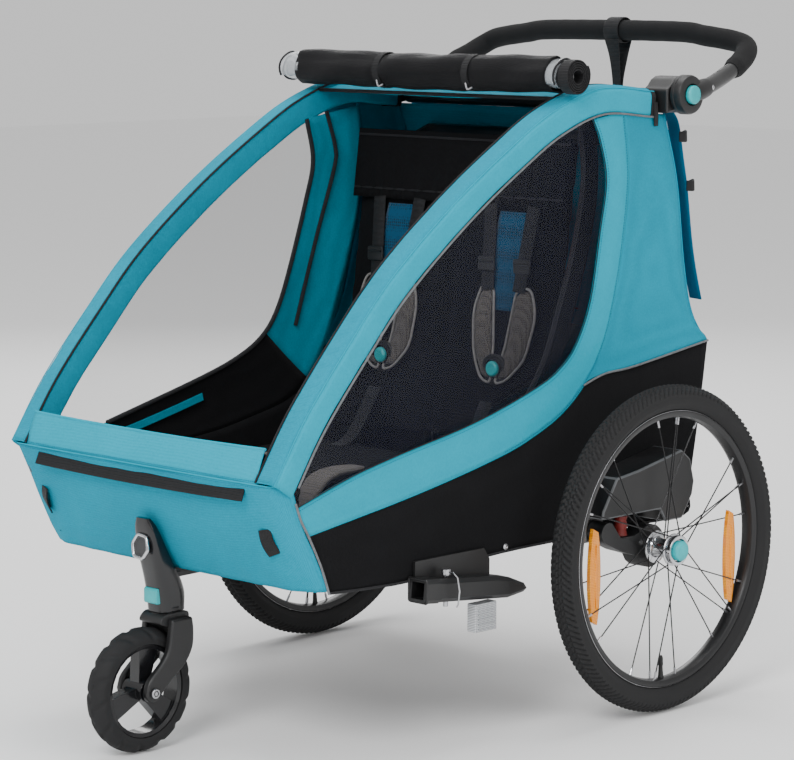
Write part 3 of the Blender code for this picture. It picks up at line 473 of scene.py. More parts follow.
def offset(line, distance):
    """Moves a (y, z) line to the left of its direction of travel."""
    moved = []
    for i, point in enumerate(line):
        ahead = (line[min(i + 1, len(line) - 1)] - line[max(i - 1, 0)]).normalized()
        moved.append(point + distance * Vector((-ahead.y, ahead.x)))
    return moved


def arch_line(depth=0.0, steps=6):
    return offset(smooth_line(ARCH_LINE, steps), -depth)


def between(first, second, across):
    """Rows of points from one line to another line of as many points."""
    return [
        [a.lerp(b, row / across) for a, b in zip(first, second)] for row in range(across + 1)
    ]


def make(name, bm, material, body, slot, smooth=True, angle=40.0):
    bmesh.ops.recalc_face_normals(bm, faces=bm.faces)
    mesh = bpy.data.meshes.new(name)
    bm.to_mesh(mesh)
    bm.free()
    mesh.materials.append(material)
    if smooth:
        mesh.shade_smooth()
        mesh.set_sharp_from_angle(angle=math.radians(angle))
    made = bpy.data.objects.new(name, mesh)
    bpy.context.scene.collection.objects.link(made)
    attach(made, body)
    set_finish(made, slot)
    return made


def skin(bm, rows, wrap_across=False, wrap_along=False, caps=False):
    """Quads over a grid of points."""
    made = [[bm.verts.new(point) for point in row] for row in rows]
    lines = made + made[:1] if wrap_across else made
    for low, high in zip(lines, lines[1:]):
        count = len(low) if wrap_along else len(low) - 1
        for i in range(count):
            j = (i + 1) % len(low)
            bm.faces.new((low[i], low[j], high[j], high[i]))
    if caps:
        bm.faces.new(made[0])
        bm.faces.new(made[-1])
    return made


def creased(point, size=0.0016, scale=7.0):
    """A small, repeatable offset that gives cloth its uneven surface."""
    broad = noise.noise(Vector(point) * scale)
    fine = noise.noise(Vector(point) * scale * 3.7 + Vector((5.0, 2.0, 8.0)))
    return size * (broad + 0.45 * fine)


def solid_sheet(name, rows, thickness, material, body, slot):
    """A cloth piece over a grid of points. Its flat size is measured on the drawn surface, not taken from a cut."""
    bm = bmesh.new()
    skin(bm, rows)
    area = sum(face.calc_area() for face in bm.faces)
    piece = make(name, bm, material, body, slot)
    solid = piece.modifiers.new("thickness", "SOLIDIFY")
    solid.thickness = thickness
    solid.offset = 0.0
    return piece


def bar(name, path, radius, material, body, slot, sides=16, radii=None):
    """A round bar along a path; radii, where given, is its radius at each point."""
    points = [Vector(point) for point in path]
    bm = bmesh.new()
    rings = []
    across = None
    for i, point in enumerate(points):
        ahead = (points[min(i + 1, len(points) - 1)] - points[max(i - 1, 0)]).normalized()
        across = across or ahead.orthogonal().normalized()
        across = (across - ahead * across.dot(ahead)).normalized()
        up = ahead.cross(across)
        size = radii[i] if radii else radius
        rings.append([
            point + size * (across * math.cos(a) + up * math.sin(a))
            for a in (2 * math.pi * k / sides for k in range(sides))
        ])
    skin(bm, rings, wrap_along=True, caps=True)
    return make(name, bm, material, body, slot)


def ribbon(name, path, width, thickness, face, material, body, slot):
    """A flat strap along a path. face is the direction that its flat side looks in."""
    points = [Vector(point) for point in path]
    bm = bmesh.new()
    rings = []
    for i, point in enumerate(points):
        ahead = (points[min(i + 1, len(points) - 1)] - points[max(i - 1, 0)]).normalized()
        out = Vector(face[i] if isinstance(face, list) else face)
        out = (out - ahead * out.dot(ahead)).normalized()
        side = ahead.cross(out)
        half, rise = width / 2, thickness / 2
        rings.append([
            point + side * a + out * b for a, b in (
                (-half, -rise * 0.4), (-half * 0.94, -rise), (half * 0.94, -rise), (half, -rise * 0.4),
                (half, rise * 0.4), (half * 0.94, rise), (-half * 0.94, rise), (-half, rise * 0.4),
            )
        ])
    skin(bm, rings, wrap_along=True, caps=True)
    return make(name, bm, material, body, slot)


def turned(name, profile, centre, material, body, slot, segments=48, axis="X", sign=1):
    """Turns (along, radius) points round an axis. along is measured from the origin."""
    bm = bmesh.new()
    rings = []
    for step in range(segments):
        angle = 2 * math.pi * step / segments
        c, s = math.cos(angle), math.sin(angle)
        ring = []
        for along, radius in profile:
            if axis == "X":
                ring.append((sign * along, centre[0] + radius * c, centre[1] + radius * s))
            elif axis == "Y":
                ring.append((centre[0] + radius * c, sign * along, centre[1] + radius * s))
            else:
                ring.append((centre[0] + radius * c, centre[1] + radius * s, sign * along))
        rings.append(ring)
    skin(bm, rings, wrap_across=True)
    bmesh.ops.remove_doubles(bm, verts=bm.verts, dist=1e-6)
    return make(name, bm, material, body, slot, angle=32.0)


def rounded(points, radius, steps=3):
    """Rounds the corners of a closed outline."""
    made = []
    corners = [Vector(point) for point in points]
    for i, corner in enumerate(corners):
        back = corners[i - 1] - corner
        ahead = corners[(i + 1) % len(corners)] - corner
        reach = min(radius, back.length * 0.45, ahead.length * 0.45)
        start = corner + back.normalized() * reach
        end = corner + ahead.normalized() * reach
        for step in range(steps + 1):
            t = step / steps
            made.append(start * (1 - t) ** 2 + corner * 2 * t * (1 - t) + end * t**2)
    return made


def slab(name, outline, low, high, material, body, slot, axis="X", bevel=0.0015, segments=3):
    """An outline given depth along an axis, with its edges rounded over."""
    bm = bmesh.new()
    rings = []
    for along in (low, high):
        if axis == "X":
            rings.append([(along, a, b) for a, b in outline])
        elif axis == "Y":
            rings.append([(a, along, b) for a, b in outline])
        else:
            rings.append([(a, b, along) for a, b in outline])
    skin(bm, rings, wrap_along=True, caps=True)
    piece = make(name, bm, material, body, slot)
    round_over(piece, bevel, segments)
    return piece


def round_over(piece, width, segments=3, angle=35.0):
    edge = piece.modifiers.new("rounded_edges", "BEVEL")
    edge.width = width
    edge.segments = segments
    edge.limit_method = "ANGLE"
    edge.angle_limit = math.radians(angle)
    edge.harden_normals = False


def refined(node, material, slot, bevel=0.0015, segments=3):
    """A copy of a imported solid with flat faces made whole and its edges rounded."""
    source = nodes[node]
    bm = bmesh.new()
    bm.from_mesh(source.data)
    bmesh.ops.remove_doubles(bm, verts=bm.verts, dist=2e-6)
    bmesh.ops.dissolve_limit(
        bm, angle_limit=math.radians(1.0), verts=bm.verts, edges=bm.edges, use_dissolve_boundaries=False,
    )
    piece = make(f"{node}_shell", bm, material, body_of(source)[0], slot, angle=35.0)
    if bevel:
        round_over(piece, bevel, segments)
    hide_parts(node)
    return piece


def crumple(piece):
    """Gives a piece of cloth on the chassis a mesh of its own."""
    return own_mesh(piece)


def sides():
    return (("left", 1), ("right", -1))


def piping(name, line, radius, material, body, slot="teal_fabric"):
    return bar(name, line, radius, material, body, slot, sides=8)


def in_side(line, x):
    return [Vector((x, p.x, p.y)) for p in line]


# Fabric cover ---------------------------------------------------------------------------------
CLOTH = 0.0014
FILM = 0.0007


def build_side_cover(side, sign, look):
    """One side of the cabin: window, light band below it, rear quarter and black lower side."""
    top = [p for p in arch_line(ARCH_DEPTH - 0.003) if p.x < 0.163]
    top.append(Vector((0.166, 0.885)))
    low = smooth_line(WINDOW_LOW_LINE, 5)
    rows = []
    for r, row in enumerate(between(even(top, 40), even(low, 40), 12)):
        rows.append([
            (sign * (SIDE_X - 0.0016 - 0.0045 * math.sin(math.pi * r / 12) * math.sin(math.pi * i / 39)), p.x,
             p.y)
            for i, p in enumerate(row)
        ])
    window = solid_sheet(f"{side}_window_film", rows, FILM, look["film"], "chassis", "clear_film")
    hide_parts(f"{side}_window")
    crumple(window)

    outer = smooth_line(BAND_OUTER_LINE, 5)
    rows = []
    for r, row in enumerate(between(even(low, 90), even(outer, 90), 8)):
        rows.append([
            (sign * (SIDE_X - 0.0010 + 0.0012 * math.sin(math.pi * r / 8) + creased((sign, p.x, p.y),
                                                                                    0.0005)), p.x, p.y)
            for p in row
        ])
    band = solid_sheet(f"{side}_window_band", rows, CLOTH, look["teal_bright"], "chassis", "teal_fabric")
    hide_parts(f"{side}_side_panel")
    crumple(band)

    start = 0.62
    inner = even(outer, 120)[int(120 * start):]
    bottom = smooth_line([(0.104, 0.456), (0.160, 0.500), (0.270, 0.512), (0.445, 0.536)], 8)
    rear = smooth_line(REAR_LINE, 8)
    first = even(inner, 60)
    border = even(bottom, 26) + even(rear, 35)[1:]
    rows = []
    for r, row in enumerate(between(first, border, 22)):
        rows.append([
            (sign * (
                SIDE_X - 0.0012 - 0.0035 * math.sin(math.pi * r / 22) * math.sin(math.pi * i / 59)
                - 0.005 * max(0.0, r / 22 - 0.85) / 0.15 * (i > 26)
                + creased((sign * 0.4, p.x, p.y), 0.0016, 5.0) * min(1.0, r / 4)
            ), p.x, p.y)
            for i, p in enumerate(row)
        ])
    quarter = solid_sheet(f"{side}_rear_quarter", rows, CLOTH, look["teal"], "chassis", "teal_fabric")
    crumple(quarter)

    upper = even(smooth_line(BLACK_TOP_LINE, 5), 60)
    lower = even(smooth_line(BLACK_LOW_LINE, 5), 60)
    rows = []
    for r, row in enumerate(between(upper, lower, 14)):
        rows.append([
            (sign * (SIDE_X - 0.0014 + 0.0016 * math.sin(math.pi * r / 14)
                     + creased((sign * 0.7, p.x, p.y), 0.0010, 6.0)), p.x, p.y)
            for p in row
        ])
    black = solid_sheet(f"{side}_lower_cover", rows, CLOTH, look["black"], "chassis", "black_fabric")
    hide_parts(f"{side}_lower_side")
    crumple(black)
    build_side_trim(side, sign, look, low)


def build_side_trim(side, sign, look, window_low):
    """Reflective piping and stitched hems along the side's seams."""
    x = sign * (SIDE_X + 0.0004)
    edge = arch_line(ARCH_DEPTH + 0.0004)
    lines = {
        "arch_piping": (in_side(edge[1:], sign * (SIDE_X + 0.0010)), 0.0016, "piping"),
        "boundary_piping": (
            in_side(smooth_line([(0.150, 0.494), (0.200, 0.507), (0.270, 0.512), (0.445, 0.536)], 6), x),
            0.0017, "piping",
        ),
        "front_piping": (
            in_side(smooth_line([(-0.4430, 0.3900), (-0.4330, 0.3650), (-0.418, 0.340), (-0.395, 0.295),
                                 (-0.380, 0.256)], 6), sign * (SIDE_X + 0.0008)),
            0.0018, "piping",
        ),
        "window_hem": (in_side(window_low, x), 0.0009, "dark_piping"),
        "lower_hem": (in_side(smooth_line(BLACK_LOW_LINE, 5), x), 0.0020, "dark_piping"),
    }
    for name, (line, radius, kind) in lines.items():
        crumple(piping(f"{side}_{name}", line, radius, look[kind], "chassis"))
    stitches = offset(window_low, -0.0055)
    crumple(stitching(f"{side}_band_stitches", in_side(stitches, sign * (SIDE_X + 0.0006)),
                      look["teal_dark"]))
    outer = offset(smooth_line(BAND_OUTER_LINE, 5), 0.004)
    crumple(stitching(f"{side}_quarter_stitches", in_side(outer[20:], sign * (SIDE_X + 0.0008)),
                      look["teal_dark"]))


def stitching(name, line, material):
    """A row of short thread stitches along a line."""
    stitch, radius = 0.0042, 0.00038
    total = length_of(line)
    points = even(line, max(3, int(total / stitch) * 2 + 1))
    bm = bmesh.new()
    for a, b in zip(points[::2], points[1::2]):
        b = a.lerp(b, 0.35 * stitch / max(1e-6, (b - a).length) * 2) if (b - a).length > stitch else b
        ahead = (b - a).normalized()
        across = ahead.orthogonal().normalized() * radius
        up = ahead.cross(across.normalized()) * radius
        skin(bm, [[p + across, p + up, p - across, p - up] for p in (a, b)], wrap_along=True, caps=True)
    return make(name, bm, material, "chassis", "teal_fabric")


def sleeve_section():
    corners = [
        (ARCH_INNER_X, 0.0), (0.2785, 0.0), (ARCH_OUTER_X, 0.009), (ARCH_OUTER_X, ARCH_DEPTH),
        (ARCH_INNER_X, ARCH_DEPTH),
    ]
    return rounded(corners, 0.0065, 4)


def build_arch_sleeve(side, sign, look):
    """The padded fabric sleeve: slightly puffed between its seams, puckered along them."""
    base = even(smooth_line(ARCH_LINE, 6), 84)
    normals = []
    for i in range(len(base)):
        ahead = (base[min(i + 1, len(base) - 1)] - base[max(i - 1, 0)]).normalized()
        normals.append(Vector((ahead.y, -ahead.x)))
    section = sleeve_section()
    centre_x = (ARCH_INNER_X + ARCH_OUTER_X) / 2
    rows = []
    for i, (point, inward) in enumerate(zip(base, normals)):
        row = []
        for x, depth in section:
            puff = 0.0008 * math.sin(i * 0.9) * math.sin(math.pi * depth / ARCH_DEPTH)
            puff += creased((x * 3, point.x, point.y + depth), 0.0010, 9.0)
            out = 1.0 if x > centre_x else -1.0
            spot = point + inward * (depth + (puff if depth > ARCH_DEPTH / 2 else -puff) * 0.5)
            row.append((sign * (x + out * puff * 0.5), spot.x, spot.y))
        rows.append(row)
    bm = bmesh.new()
    skin(bm, rows, wrap_along=True)
    sleeve = make(f"{side}_arch_cover", bm, look["teal"], "arch", "teal_fabric", angle=70.0)
    # The faces that look out sideways get the lighter teal: painted light on the sleeve's lit side, with the front
    # face left darker as its shaded side.
    for face in sleeve.data.polygons:
        facing = sign * face.normal.x
        if facing > 0.75:
            face.material_index = 1
    sleeve.data.materials.append(look["teal_bright"])
    solid = sleeve.modifiers.new("thickness", "SOLIDIFY")
    solid.thickness = CLOTH
    solid.offset = -1.0
    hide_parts(f"{side}_arch_sleeve")
    inner_edge = [Vector((sign * (ARCH_INNER_X + 0.0005), p.x + n.x * 0.001, p.y + n.y * 0.001))
                  for p, n in zip(base, normals)]
    piping(f"{side}_arch_inner_piping", inner_edge, 0.0019, look["dark_piping"], "arch")
    seam = [Vector((sign * 0.2835, p.x + n.x * 0.0040, p.y + n.y * 0.0040)) for p, n in zip(base, normals)]
    piping(f"{side}_arch_seam", seam, 0.0007, look["teal_bright"], "arch")
    build_arch_end(side, sign, look, base, normals)


def build_arch_end(side, sign, look, base, normals):
    """Black binding and a hooked tab at the sleeve's rear end."""
    last, inward = base[-1], normals[-1]
    section = rounded([
        (ARCH_INNER_X - 0.001, -0.001), (0.2790, -0.001), (ARCH_OUTER_X + 0.001, 0.009),
        (ARCH_OUTER_X + 0.001, ARCH_DEPTH + 0.001), (ARCH_INNER_X - 0.001, ARCH_DEPTH + 0.001),
    ], 0.0065, 4)
    rows = []
    for step in range(4):
        shift = -0.0085 + 0.003 * step
        rows.append([
            (sign * x, last.x + shift + inward.x * depth, last.y + inward.y * depth) for x, depth in section
        ])
    bm = bmesh.new()
    skin(bm, rows, wrap_along=True)
    cuff = make(f"{side}_sleeve_binding", bm, look["webbing"], "arch", "black_fabric")
    solid = cuff.modifiers.new("thickness", "SOLIDIFY")
    solid.thickness = 0.0016
    tab = [
        (sign * (ARCH_OUTER_X + 0.0015), last.x - 0.003, last.y - 0.020),
        (sign * (ARCH_OUTER_X + 0.0025), last.x - 0.002, last.y - 0.040),
        (sign * (ARCH_OUTER_X + 0.0015), last.x - 0.001, last.y - 0.056),
    ]
    ribbon(f"{side}_sleeve_tab", smooth_line(tab, 3), 0.009, 0.0018, (sign, 0, 0), look["webbing"], "arch",
           "black_fabric")


NOSE_LEVELS = [  # (z, front y, half width at the front, side y)
    (0.2600, -0.4150, 0.240, -0.3780), (0.2850, -0.4290, 0.247, -0.3905),
    (0.3150, -0.4405, 0.253, -0.4065), (0.3450, -0.4520, 0.258, -0.4230),
    (0.3800, -0.4665, 0.262, -0.4380), (0.4160, -0.4825, 0.2645, -0.4495),
]


def nose_point(level, share, out=0.0):
    """A point of the nose: share runs from -1 at the right side to 1 at the left side."""
    z, front_y, half, side_y = level
    turn = 0.80
    size = abs(share)
    sign = math.copysign(1.0, share)
    if size <= turn:
        x = sign * half * size / turn
        y = front_y + 0.0035 * (size / turn) ** 4 - out
        return Vector((x, y, z))
    t = (size - turn) / (1 - turn)
    ease = t * t * (3 - 2 * t)
    x = sign * (half + (SIDE_X - 0.0008 - half) * math.sin(t * math.pi / 2) + out * ease)
    y = front_y + 0.0035 + (side_y - front_y - 0.0035) * (1 - math.cos(t * math.pi / 2)) - out * (1 - ease)
    return Vector((x, y, z))


def nose_level(z):
    levels = NOSE_LEVELS
    for low, high in zip(levels, levels[1:]):
        if z <= high[0]:
            t = max(0.0, (z - low[0]) / (high[0] - low[0]))
            return tuple(a + (b - a) * t for a, b in zip(low, high))
    return levels[-1]


def build_nose(look):
    """The nose cover: a full lower panel with folds at its corners, and a taut band above it."""
    rows = []
    for r in range(27):
        level = nose_level(0.2600 + 0.1560 * r / 26)
        row = []
        for c in range(97):
            share = -1 + 2 * c / 96
            spot = nose_point(level, share)
            belly = 0.0050 * math.sin(math.pi * r / 26) * max(0.0, 1 - (share / 0.82) ** 4)
            fold = 0.0022 * math.exp(-((abs(share) - 0.87) / 0.035) ** 2) * (1 - r / 26)
            drag = 0.0016 * math.sin(34 * abs(share) + 9 * r / 26) * max(0.0, 1 - r / 20) * max(0.0,
                    abs(share) - 0.15)
            spot.y -= belly - fold + drag - creased((spot.x, 0.3, spot.z), 0.0020, 5.5)
            row.append(spot)
        rows.append(row)
    panel = solid_sheet("nose_cover", rows, CLOTH, look["teal"], "chassis", "teal_fabric")
    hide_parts("front_panel")
    crumple(panel)

    rows = []
    for r in range(9):
        t = r / 8
        row = []
        for c in range(65):
            share = -1 + 2 * c / 64
            x = 0.2475 * share
            y = -0.4815 + 0.0165 * t + 0.002 * share**4 - 0.0012 * math.sin(math.pi * t)
            z = 0.4165 + 0.0455 * t - 0.0025 * (1 - share**2) * t
            row.append(Vector((x, y - creased((x, 1.3, z), 0.0010, 6.0), z)))
        rows.append(row)
    band = solid_sheet("nose_top_band", rows, 0.0022, look["teal_bright"], "chassis", "teal_fabric")
    crumple(band)
    hem = [p + Vector((0, 0.0008, 0.0004)) for p in rows[-1]]
    crumple(piping("nose_top_hem", hem, 0.0022, look["teal_bright"], "chassis"))
    seam = [nose_point(nose_level(0.4160), -0.985 + 1.97 * c / 60, 0.0012) for c in range(61)]
    crumple(piping("nose_seam", seam, 0.0011, look["teal_bright"], "chassis"))
    for name, z in (("upper", 0.4205), ("lower", 0.4125)):
        line = [nose_point(nose_level(0.4160), -0.78 + 1.56 * c / 60, 0.0022) for c in range(61)]
        for point in line:
            point.z = z - 0.0003
            point.y += 0.0016 * (z > 0.416)
        crumple(stitching(f"nose_{name}_stitches", line, look["teal_dark"]))

    strip_path = []
    for c in range(49):
        share = -0.675 + 1.35 * c / 48
        droop = 0.0030 * (1 - (share / 0.675) ** 2) 
        level = nose_level(0.4015 - droop)
        spot = nose_point(level, share, 0.0052)
        strip_path.append(spot)
    strap = ribbon("nose_strip", strip_path, 0.0235, 0.0022, (0, -0.92, 0.38), look["webbing"], "chassis",
                   "black_fabric")
    crumple(strap)
    for side, sign in sides():
        path = []
        for k in range(13):
            t = k / 12
            level = nose_level(0.350 - 0.036 * t)
            lift = 0.0035 + 0.0045 * math.sin(math.pi * t)
            path.append(nose_point(level, sign * (0.735 + 0.035 * t), lift))
        loop = ribbon(f"{side}_nose_loop", path, 0.020, 0.0022, (sign * 0.25, -0.92, 0.25),
                      look["webbing"], "chassis", "black_fabric")
        crumple(loop)


def build_rear(look):
    """Rear panel with a zipped luggage flap, the black panel below it, and the flap at the corner."""
    rear = even(smooth_line(REAR_LINE[::-1], 8), 34)
    reach = SIDE_X - 0.0035
    rows = []
    for r, p in enumerate(rear):
        row = []
        for c in range(61):
            share = -1 + 2 * c / 60
            sag = 0.006 * math.sin(math.pi * r / 33) * (1 - share**2)
            row.append((reach * share, p.x - 0.0015 + sag + creased((share, p.x, p.y), 0.0022,
                                                                    4.0) * (1 - share**8), p.y))
        rows.append(row)
    back = solid_sheet("rear_cover", rows, CLOTH, look["teal"], "chassis", "teal_fabric")
    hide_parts("rear_panel")
    crumple(back)
    low = even(smooth_line([(0.4425, 0.542), (0.440, 0.534), (0.424, 0.500), (0.4035, 0.466), (0.4030, 0.380),
                            (0.4030, 0.270)], 6), 26)
    rows = [
        [(reach * (-1 + 2 * c / 60), p.x - 0.001 + creased((c * 0.02, p.x, p.y), 0.0018, 5.0),
          p.y) for c in range(61)]
        for p in low
    ]
    lower = solid_sheet("lower_rear_cover", rows, CLOTH, look["black"], "chassis", "black_fabric")
    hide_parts("lower_rear_panel")
    crumple(lower)
    zip_line = smooth_line([
        (-0.205, 0.800), (-0.205, 0.640), (-0.195, 0.590), (-0.150, 0.572), (0.0, 0.570), (0.150, 0.572),
        (0.195, 0.590), (0.205, 0.640), (0.205, 0.800),
    ], 8)
    crumple(piping("rear_zip", [rear_spot(rear, x, z) for x, z in zip_line], 0.0030, look["dark_piping"],
                   "chassis",
                   "black_fabric"))
    seam = [rear_spot(rear, -reach + 2 * reach * c / 60, 0.5385) for c in range(61)]
    crumple(piping("rear_boundary_piping", seam, 0.0017, look["piping"], "chassis"))
    for sign, side in ((-1, "right"), (1, "left")):
        pull = [rear_spot(rear, sign * 0.205, 0.800) + Vector((0, 0.004, 0)),
                rear_spot(rear, sign * 0.205, 0.775) + Vector((0, 0.006, 0))]
        crumple(bar(f"{side}_zip_pull", pull, 0.0030, look["steel"], "chassis", "plated_steel", 8))
    build_corner_flaps(look)


def rear_spot(rear, x, z):
    """A point just outside the rear panel at this width and height."""
    for a, b in zip(rear, rear[1:]):
        if (a.y - z) * (b.y - z) <= 0:
            t = (a.y - z) / (a.y - b.y) if a.y != b.y else 0.0
            y = a.x + (b.x - a.x) * t
            share = x / SIDE_X
            depth = 0.006 * math.sin(math.pi * (0.885 - z) / 0.349) * (1 - share**2)
            return Vector((x, y + depth + 0.001, z))
    return Vector((x, rear[-1].x + 0.001, z))


def build_corner_flaps(look):
    """The rain flap that hangs off each rear corner, tied by two short black tabs."""
    for side, sign in sides():
        line = smooth_line([(0.352, 0.898), (0.372, 0.868), (0.388, 0.800), (0.404, 0.700), (0.432, 0.600)],
                           6)
        rows = []
        for c in range(5):
            x = sign * (0.2790 - 0.0075 * c)
            rows.append([
                (x, p.x + 0.0050 + 0.0024 * c + 0.0015 * math.sin(i * 0.5), p.y) for i, p in enumerate(line)
            ])
        # The flap is made in the darker teal: painted shade, for the flap that hangs in shade at the rear corner.
        flap = solid_sheet(f"{side}_corner_flap", rows, 0.0018, look["teal_dark"], "chassis", "teal_fabric")
        crumple(flap)
        for number, z in enumerate((0.856, 0.780)):
            y = 0.371 + (0.856 - z) * 0.26
            path = [(sign * 0.2870, y - 0.004, z), (sign * 0.2885, y + 0.010, z - 0.001),
                    (sign * 0.2780, y + 0.022, z + 0.001), (sign * 0.2660, y + 0.026, z - 0.002)]
            tab = ribbon(f"{side}_flap_tab_{number}", smooth_line(path, 4), 0.016, 0.0024, (sign, 0.5, 0),
                         look["webbing"], "chassis", "black_fabric")
            crumple(tab)


def build_roof(look):
    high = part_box("roof_panel")[1]
    line = even(smooth_line([(0.122, 0.9200), (0.150, 0.9235), (0.189, 0.9340), (0.245, 0.9320),
                             (0.303, 0.9275), (0.336, 0.9205), (0.3500, 0.9080),
                             (0.3505, 0.8890)], 6), 30)
    rows = []
    for p in line:
        rows.append([
            (high[0] * (-1 + 2 * c / 48), p.x, p.y - 0.004 * math.cos(math.pi * (c / 48 - 0.5))
             + creased((c * 0.03, p.x, 2.0), 0.0012, 8.0))
            for c in range(49)
        ])
    roof = solid_sheet("roof_cover", rows, CLOTH, look["teal"], "arch", "teal_fabric")
    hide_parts("roof_panel")
    top = [Vector((-high[0] + 2 * high[0] * c / 40, 0.122, 0.9195)) for c in range(41)]
    piping("roof_front_hem", top, 0.0030, look["dark_piping"], "arch", "black_fabric")


# Inside of the cabin --------------------------------------------------------------------------
SEE_THROUGH_LINE = [
    (0.092, 0.874), (0.106, 0.808), (0.090, 0.745), (0.053, 0.636), (0.026, 0.574), (-0.004, 0.537),
    (-0.052, 0.509), (-0.136, 0.481), (-0.326, 0.432),
]
LINING_REAR_LINE = [
    (0.212, 0.892), (0.222, 0.800), (0.205, 0.700), (0.170, 0.600), (0.125, 0.500), (0.060, 0.435),
    (-0.050, 0.405), (-0.150, 0.390), (-0.340, 0.375),
]
LINING_SEAM_LINE = [(0.136, 0.884), (0.156, 0.825), (0.152, 0.790), (0.111, 0.679), (0.066, 0.546)]
SEAT_BACK_LINE = [(0.100, 0.380), (0.150, 0.520), (0.195, 0.860)]
SEAT_HALF = 0.236
SEAT_CENTRES = (("left", 0.120), ("right", -0.120))


def seat_back_y(z, front=0.0):
    """The y of the seat back's front face at this height, less a stand-off."""
    for (y0, z0), (y1, z1) in zip(SEAT_BACK_LINE, SEAT_BACK_LINE[1:]):
        if z <= z1:
            break
    return y0 + (y1 - y0) * (z - z0) / (z1 - z0) - front


def build_lining(side, sign, look):
    """The wall inside the far side: teal above, black below, edged with black tape."""
    x = sign * 0.2485
    inner = even(smooth_line(SEE_THROUGH_LINE, 6), 60)
    outer = even(smooth_line(LINING_REAR_LINE, 6), 60)
    if side == "left":
        inner = [a.lerp(b, 0.72) for a, b in zip(inner, outer)]
    rows = []
    for r, row in enumerate(between(inner, outer, 12)):
        rows.append([
            (x + sign * (0.003 * math.sin(math.pi * r / 12) + creased((sign, p.x, p.y), 0.0016)), p.x, p.y)
            for p in row
        ])
    split = 31
    # The near (left) side's upper wall is black, not teal lining: painted shade, for the dark cabin seen through
    # the near window.
    for name, part, key in (
        ("inner_wall", [row[:split] for row in rows], "teal_lining" if side == "right" else "black"),
        ("inner_wall_front", [row[split - 1:] for row in rows], "black"),
    ):
        wall = solid_sheet(f"{side}_{name}", part, CLOTH, look[key], "chassis",
                           "teal_fabric" if key == "teal_lining" else "black_fabric")
        crumple(wall)
    strip = even(smooth_line([(-0.135, 0.452), (-0.200, 0.436), (-0.270, 0.420), (-0.330, 0.408)], 5), 20)
    if side == "right":
        crumple(ribbon("right_lining_strip", in_side(strip, x + 0.0030), 0.012, 0.0012, (1, 0, 0),
                       look["teal_lining"], "chassis", "teal_fabric"))
    crumple(piping(f"{side}_lining_tape", in_side(inner, x - sign * 0.0008), 0.0036, look["dark_piping"],
                   "chassis",
                   "black_fabric"))
    seam = even(smooth_line(LINING_SEAM_LINE, 6), 30)
    if side == "right":
        crumple(piping(f"{side}_lining_seam", in_side(seam, x - sign * 0.0010), 0.0032, look["dark_piping"],
                       "chassis",
                       "black_fabric"))
    upper = even(smooth_line([(0.125, 0.500), (0.060, 0.435), (-0.050, 0.405), (-0.150, 0.390),
                              (-0.340, 0.375)], 6), 46)
    lower = [Vector((p.x, 0.272)) for p in upper]
    rows = []
    for r, row in enumerate(between(upper, lower, 10)):
        rows.append([(x + sign * creased((sign, p.x, p.y), 0.0020, 6.0), p.x, p.y) for p in row])
    low = solid_sheet(f"{side}_inner_lower_wall", rows, CLOTH, look["black"], "chassis", "black_fabric")
    crumple(low)


def build_nose_inside(look):
    """Black lining behind the nose band, and the floor mat."""
    rows = []
    for r in range(7):
        z = 0.455 - 0.175 * r / 6
        y = -0.4580 + 0.035 * (r / 6)
        rows.append([(0.243 * (-1 + 2 * c / 40), y + creased((c * 0.05, 0, z), 0.002), z) for c in range(41)])
    crumple(solid_sheet("nose_lining", rows, CLOTH, look["black"], "chassis", "black_fabric"))
    low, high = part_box("floor_panel")
    rows = []
    for r in range(31):
        y = low[1] + 0.012 + (high[1] - low[1] - 0.024) * r / 30
        rows.append([
            ((low[0] + 0.012) * (1 - 2 * c / 40), y,
             high[2] + 0.0012 + abs(creased((c * 0.04, y, 0), 0.0018, 6.0)))
            for c in range(41)
        ])
    solid_sheet("floor_mat", rows, 0.0018, look["black"], "chassis", "black_fabric")


def stuffed(piece, grow, voxel=0.006, pressure=4.0):
    """Lets a closed cushion swell as inflated cloth, moving no point further than grow."""
    remesh = piece.modifiers.new("even_mesh", "REMESH")
    remesh.mode = "VOXEL"
    remesh.voxel_size = voxel
    bake(piece)
    piece.modifiers.clear()
    rest = [v.co.copy() for v in piece.data.vertices]
    cloth = piece.modifiers.new("cloth", "CLOTH")
    cloth.settings.quality = 4
    cloth.settings.mass = 0.25
    cloth.settings.use_pressure = True
    cloth.settings.uniform_pressure_force = pressure
    cloth.settings.tension_stiffness = 18.0
    cloth.settings.compression_stiffness = 18.0
    cloth.settings.bending_stiffness = 0.4
    cloth.settings.effector_weights.gravity = 0.0
    cloth.collision_settings.use_collision = False
    cloth.point_cache.frame_start = 1
    cloth.point_cache.frame_end = CLOTH_FRAMES
    scene = bpy.context.scene
    for frame_number in range(1, CLOTH_FRAMES + 1):
        scene.frame_set(frame_number)
    bake(piece)
    piece.modifiers.clear()
    scene.frame_set(1)
    for vertex, start in zip(piece.data.vertices, rest):
        move = vertex.co - start
        if move.length > grow:
            vertex.co = start + move.normalized() * grow
    calm = piece.modifiers.new("calm", "SMOOTH")
    calm.factor = 0.5
    calm.iterations = 3
    finer = piece.modifiers.new("finer", "SUBSURF")
    finer.levels = 1
    finer.render_levels = 1
    piece.data.shade_smooth()
    return piece


def bake(piece):
    """Makes the piece's evaluated mesh its own mesh."""
    graph = bpy.context.evaluated_depsgraph_get()
    mesh = bpy.data.meshes.new_from_object(piece.evaluated_get(graph), depsgraph=graph)
    old = piece.data
    piece.data = mesh
    bpy.data.meshes.remove(old)


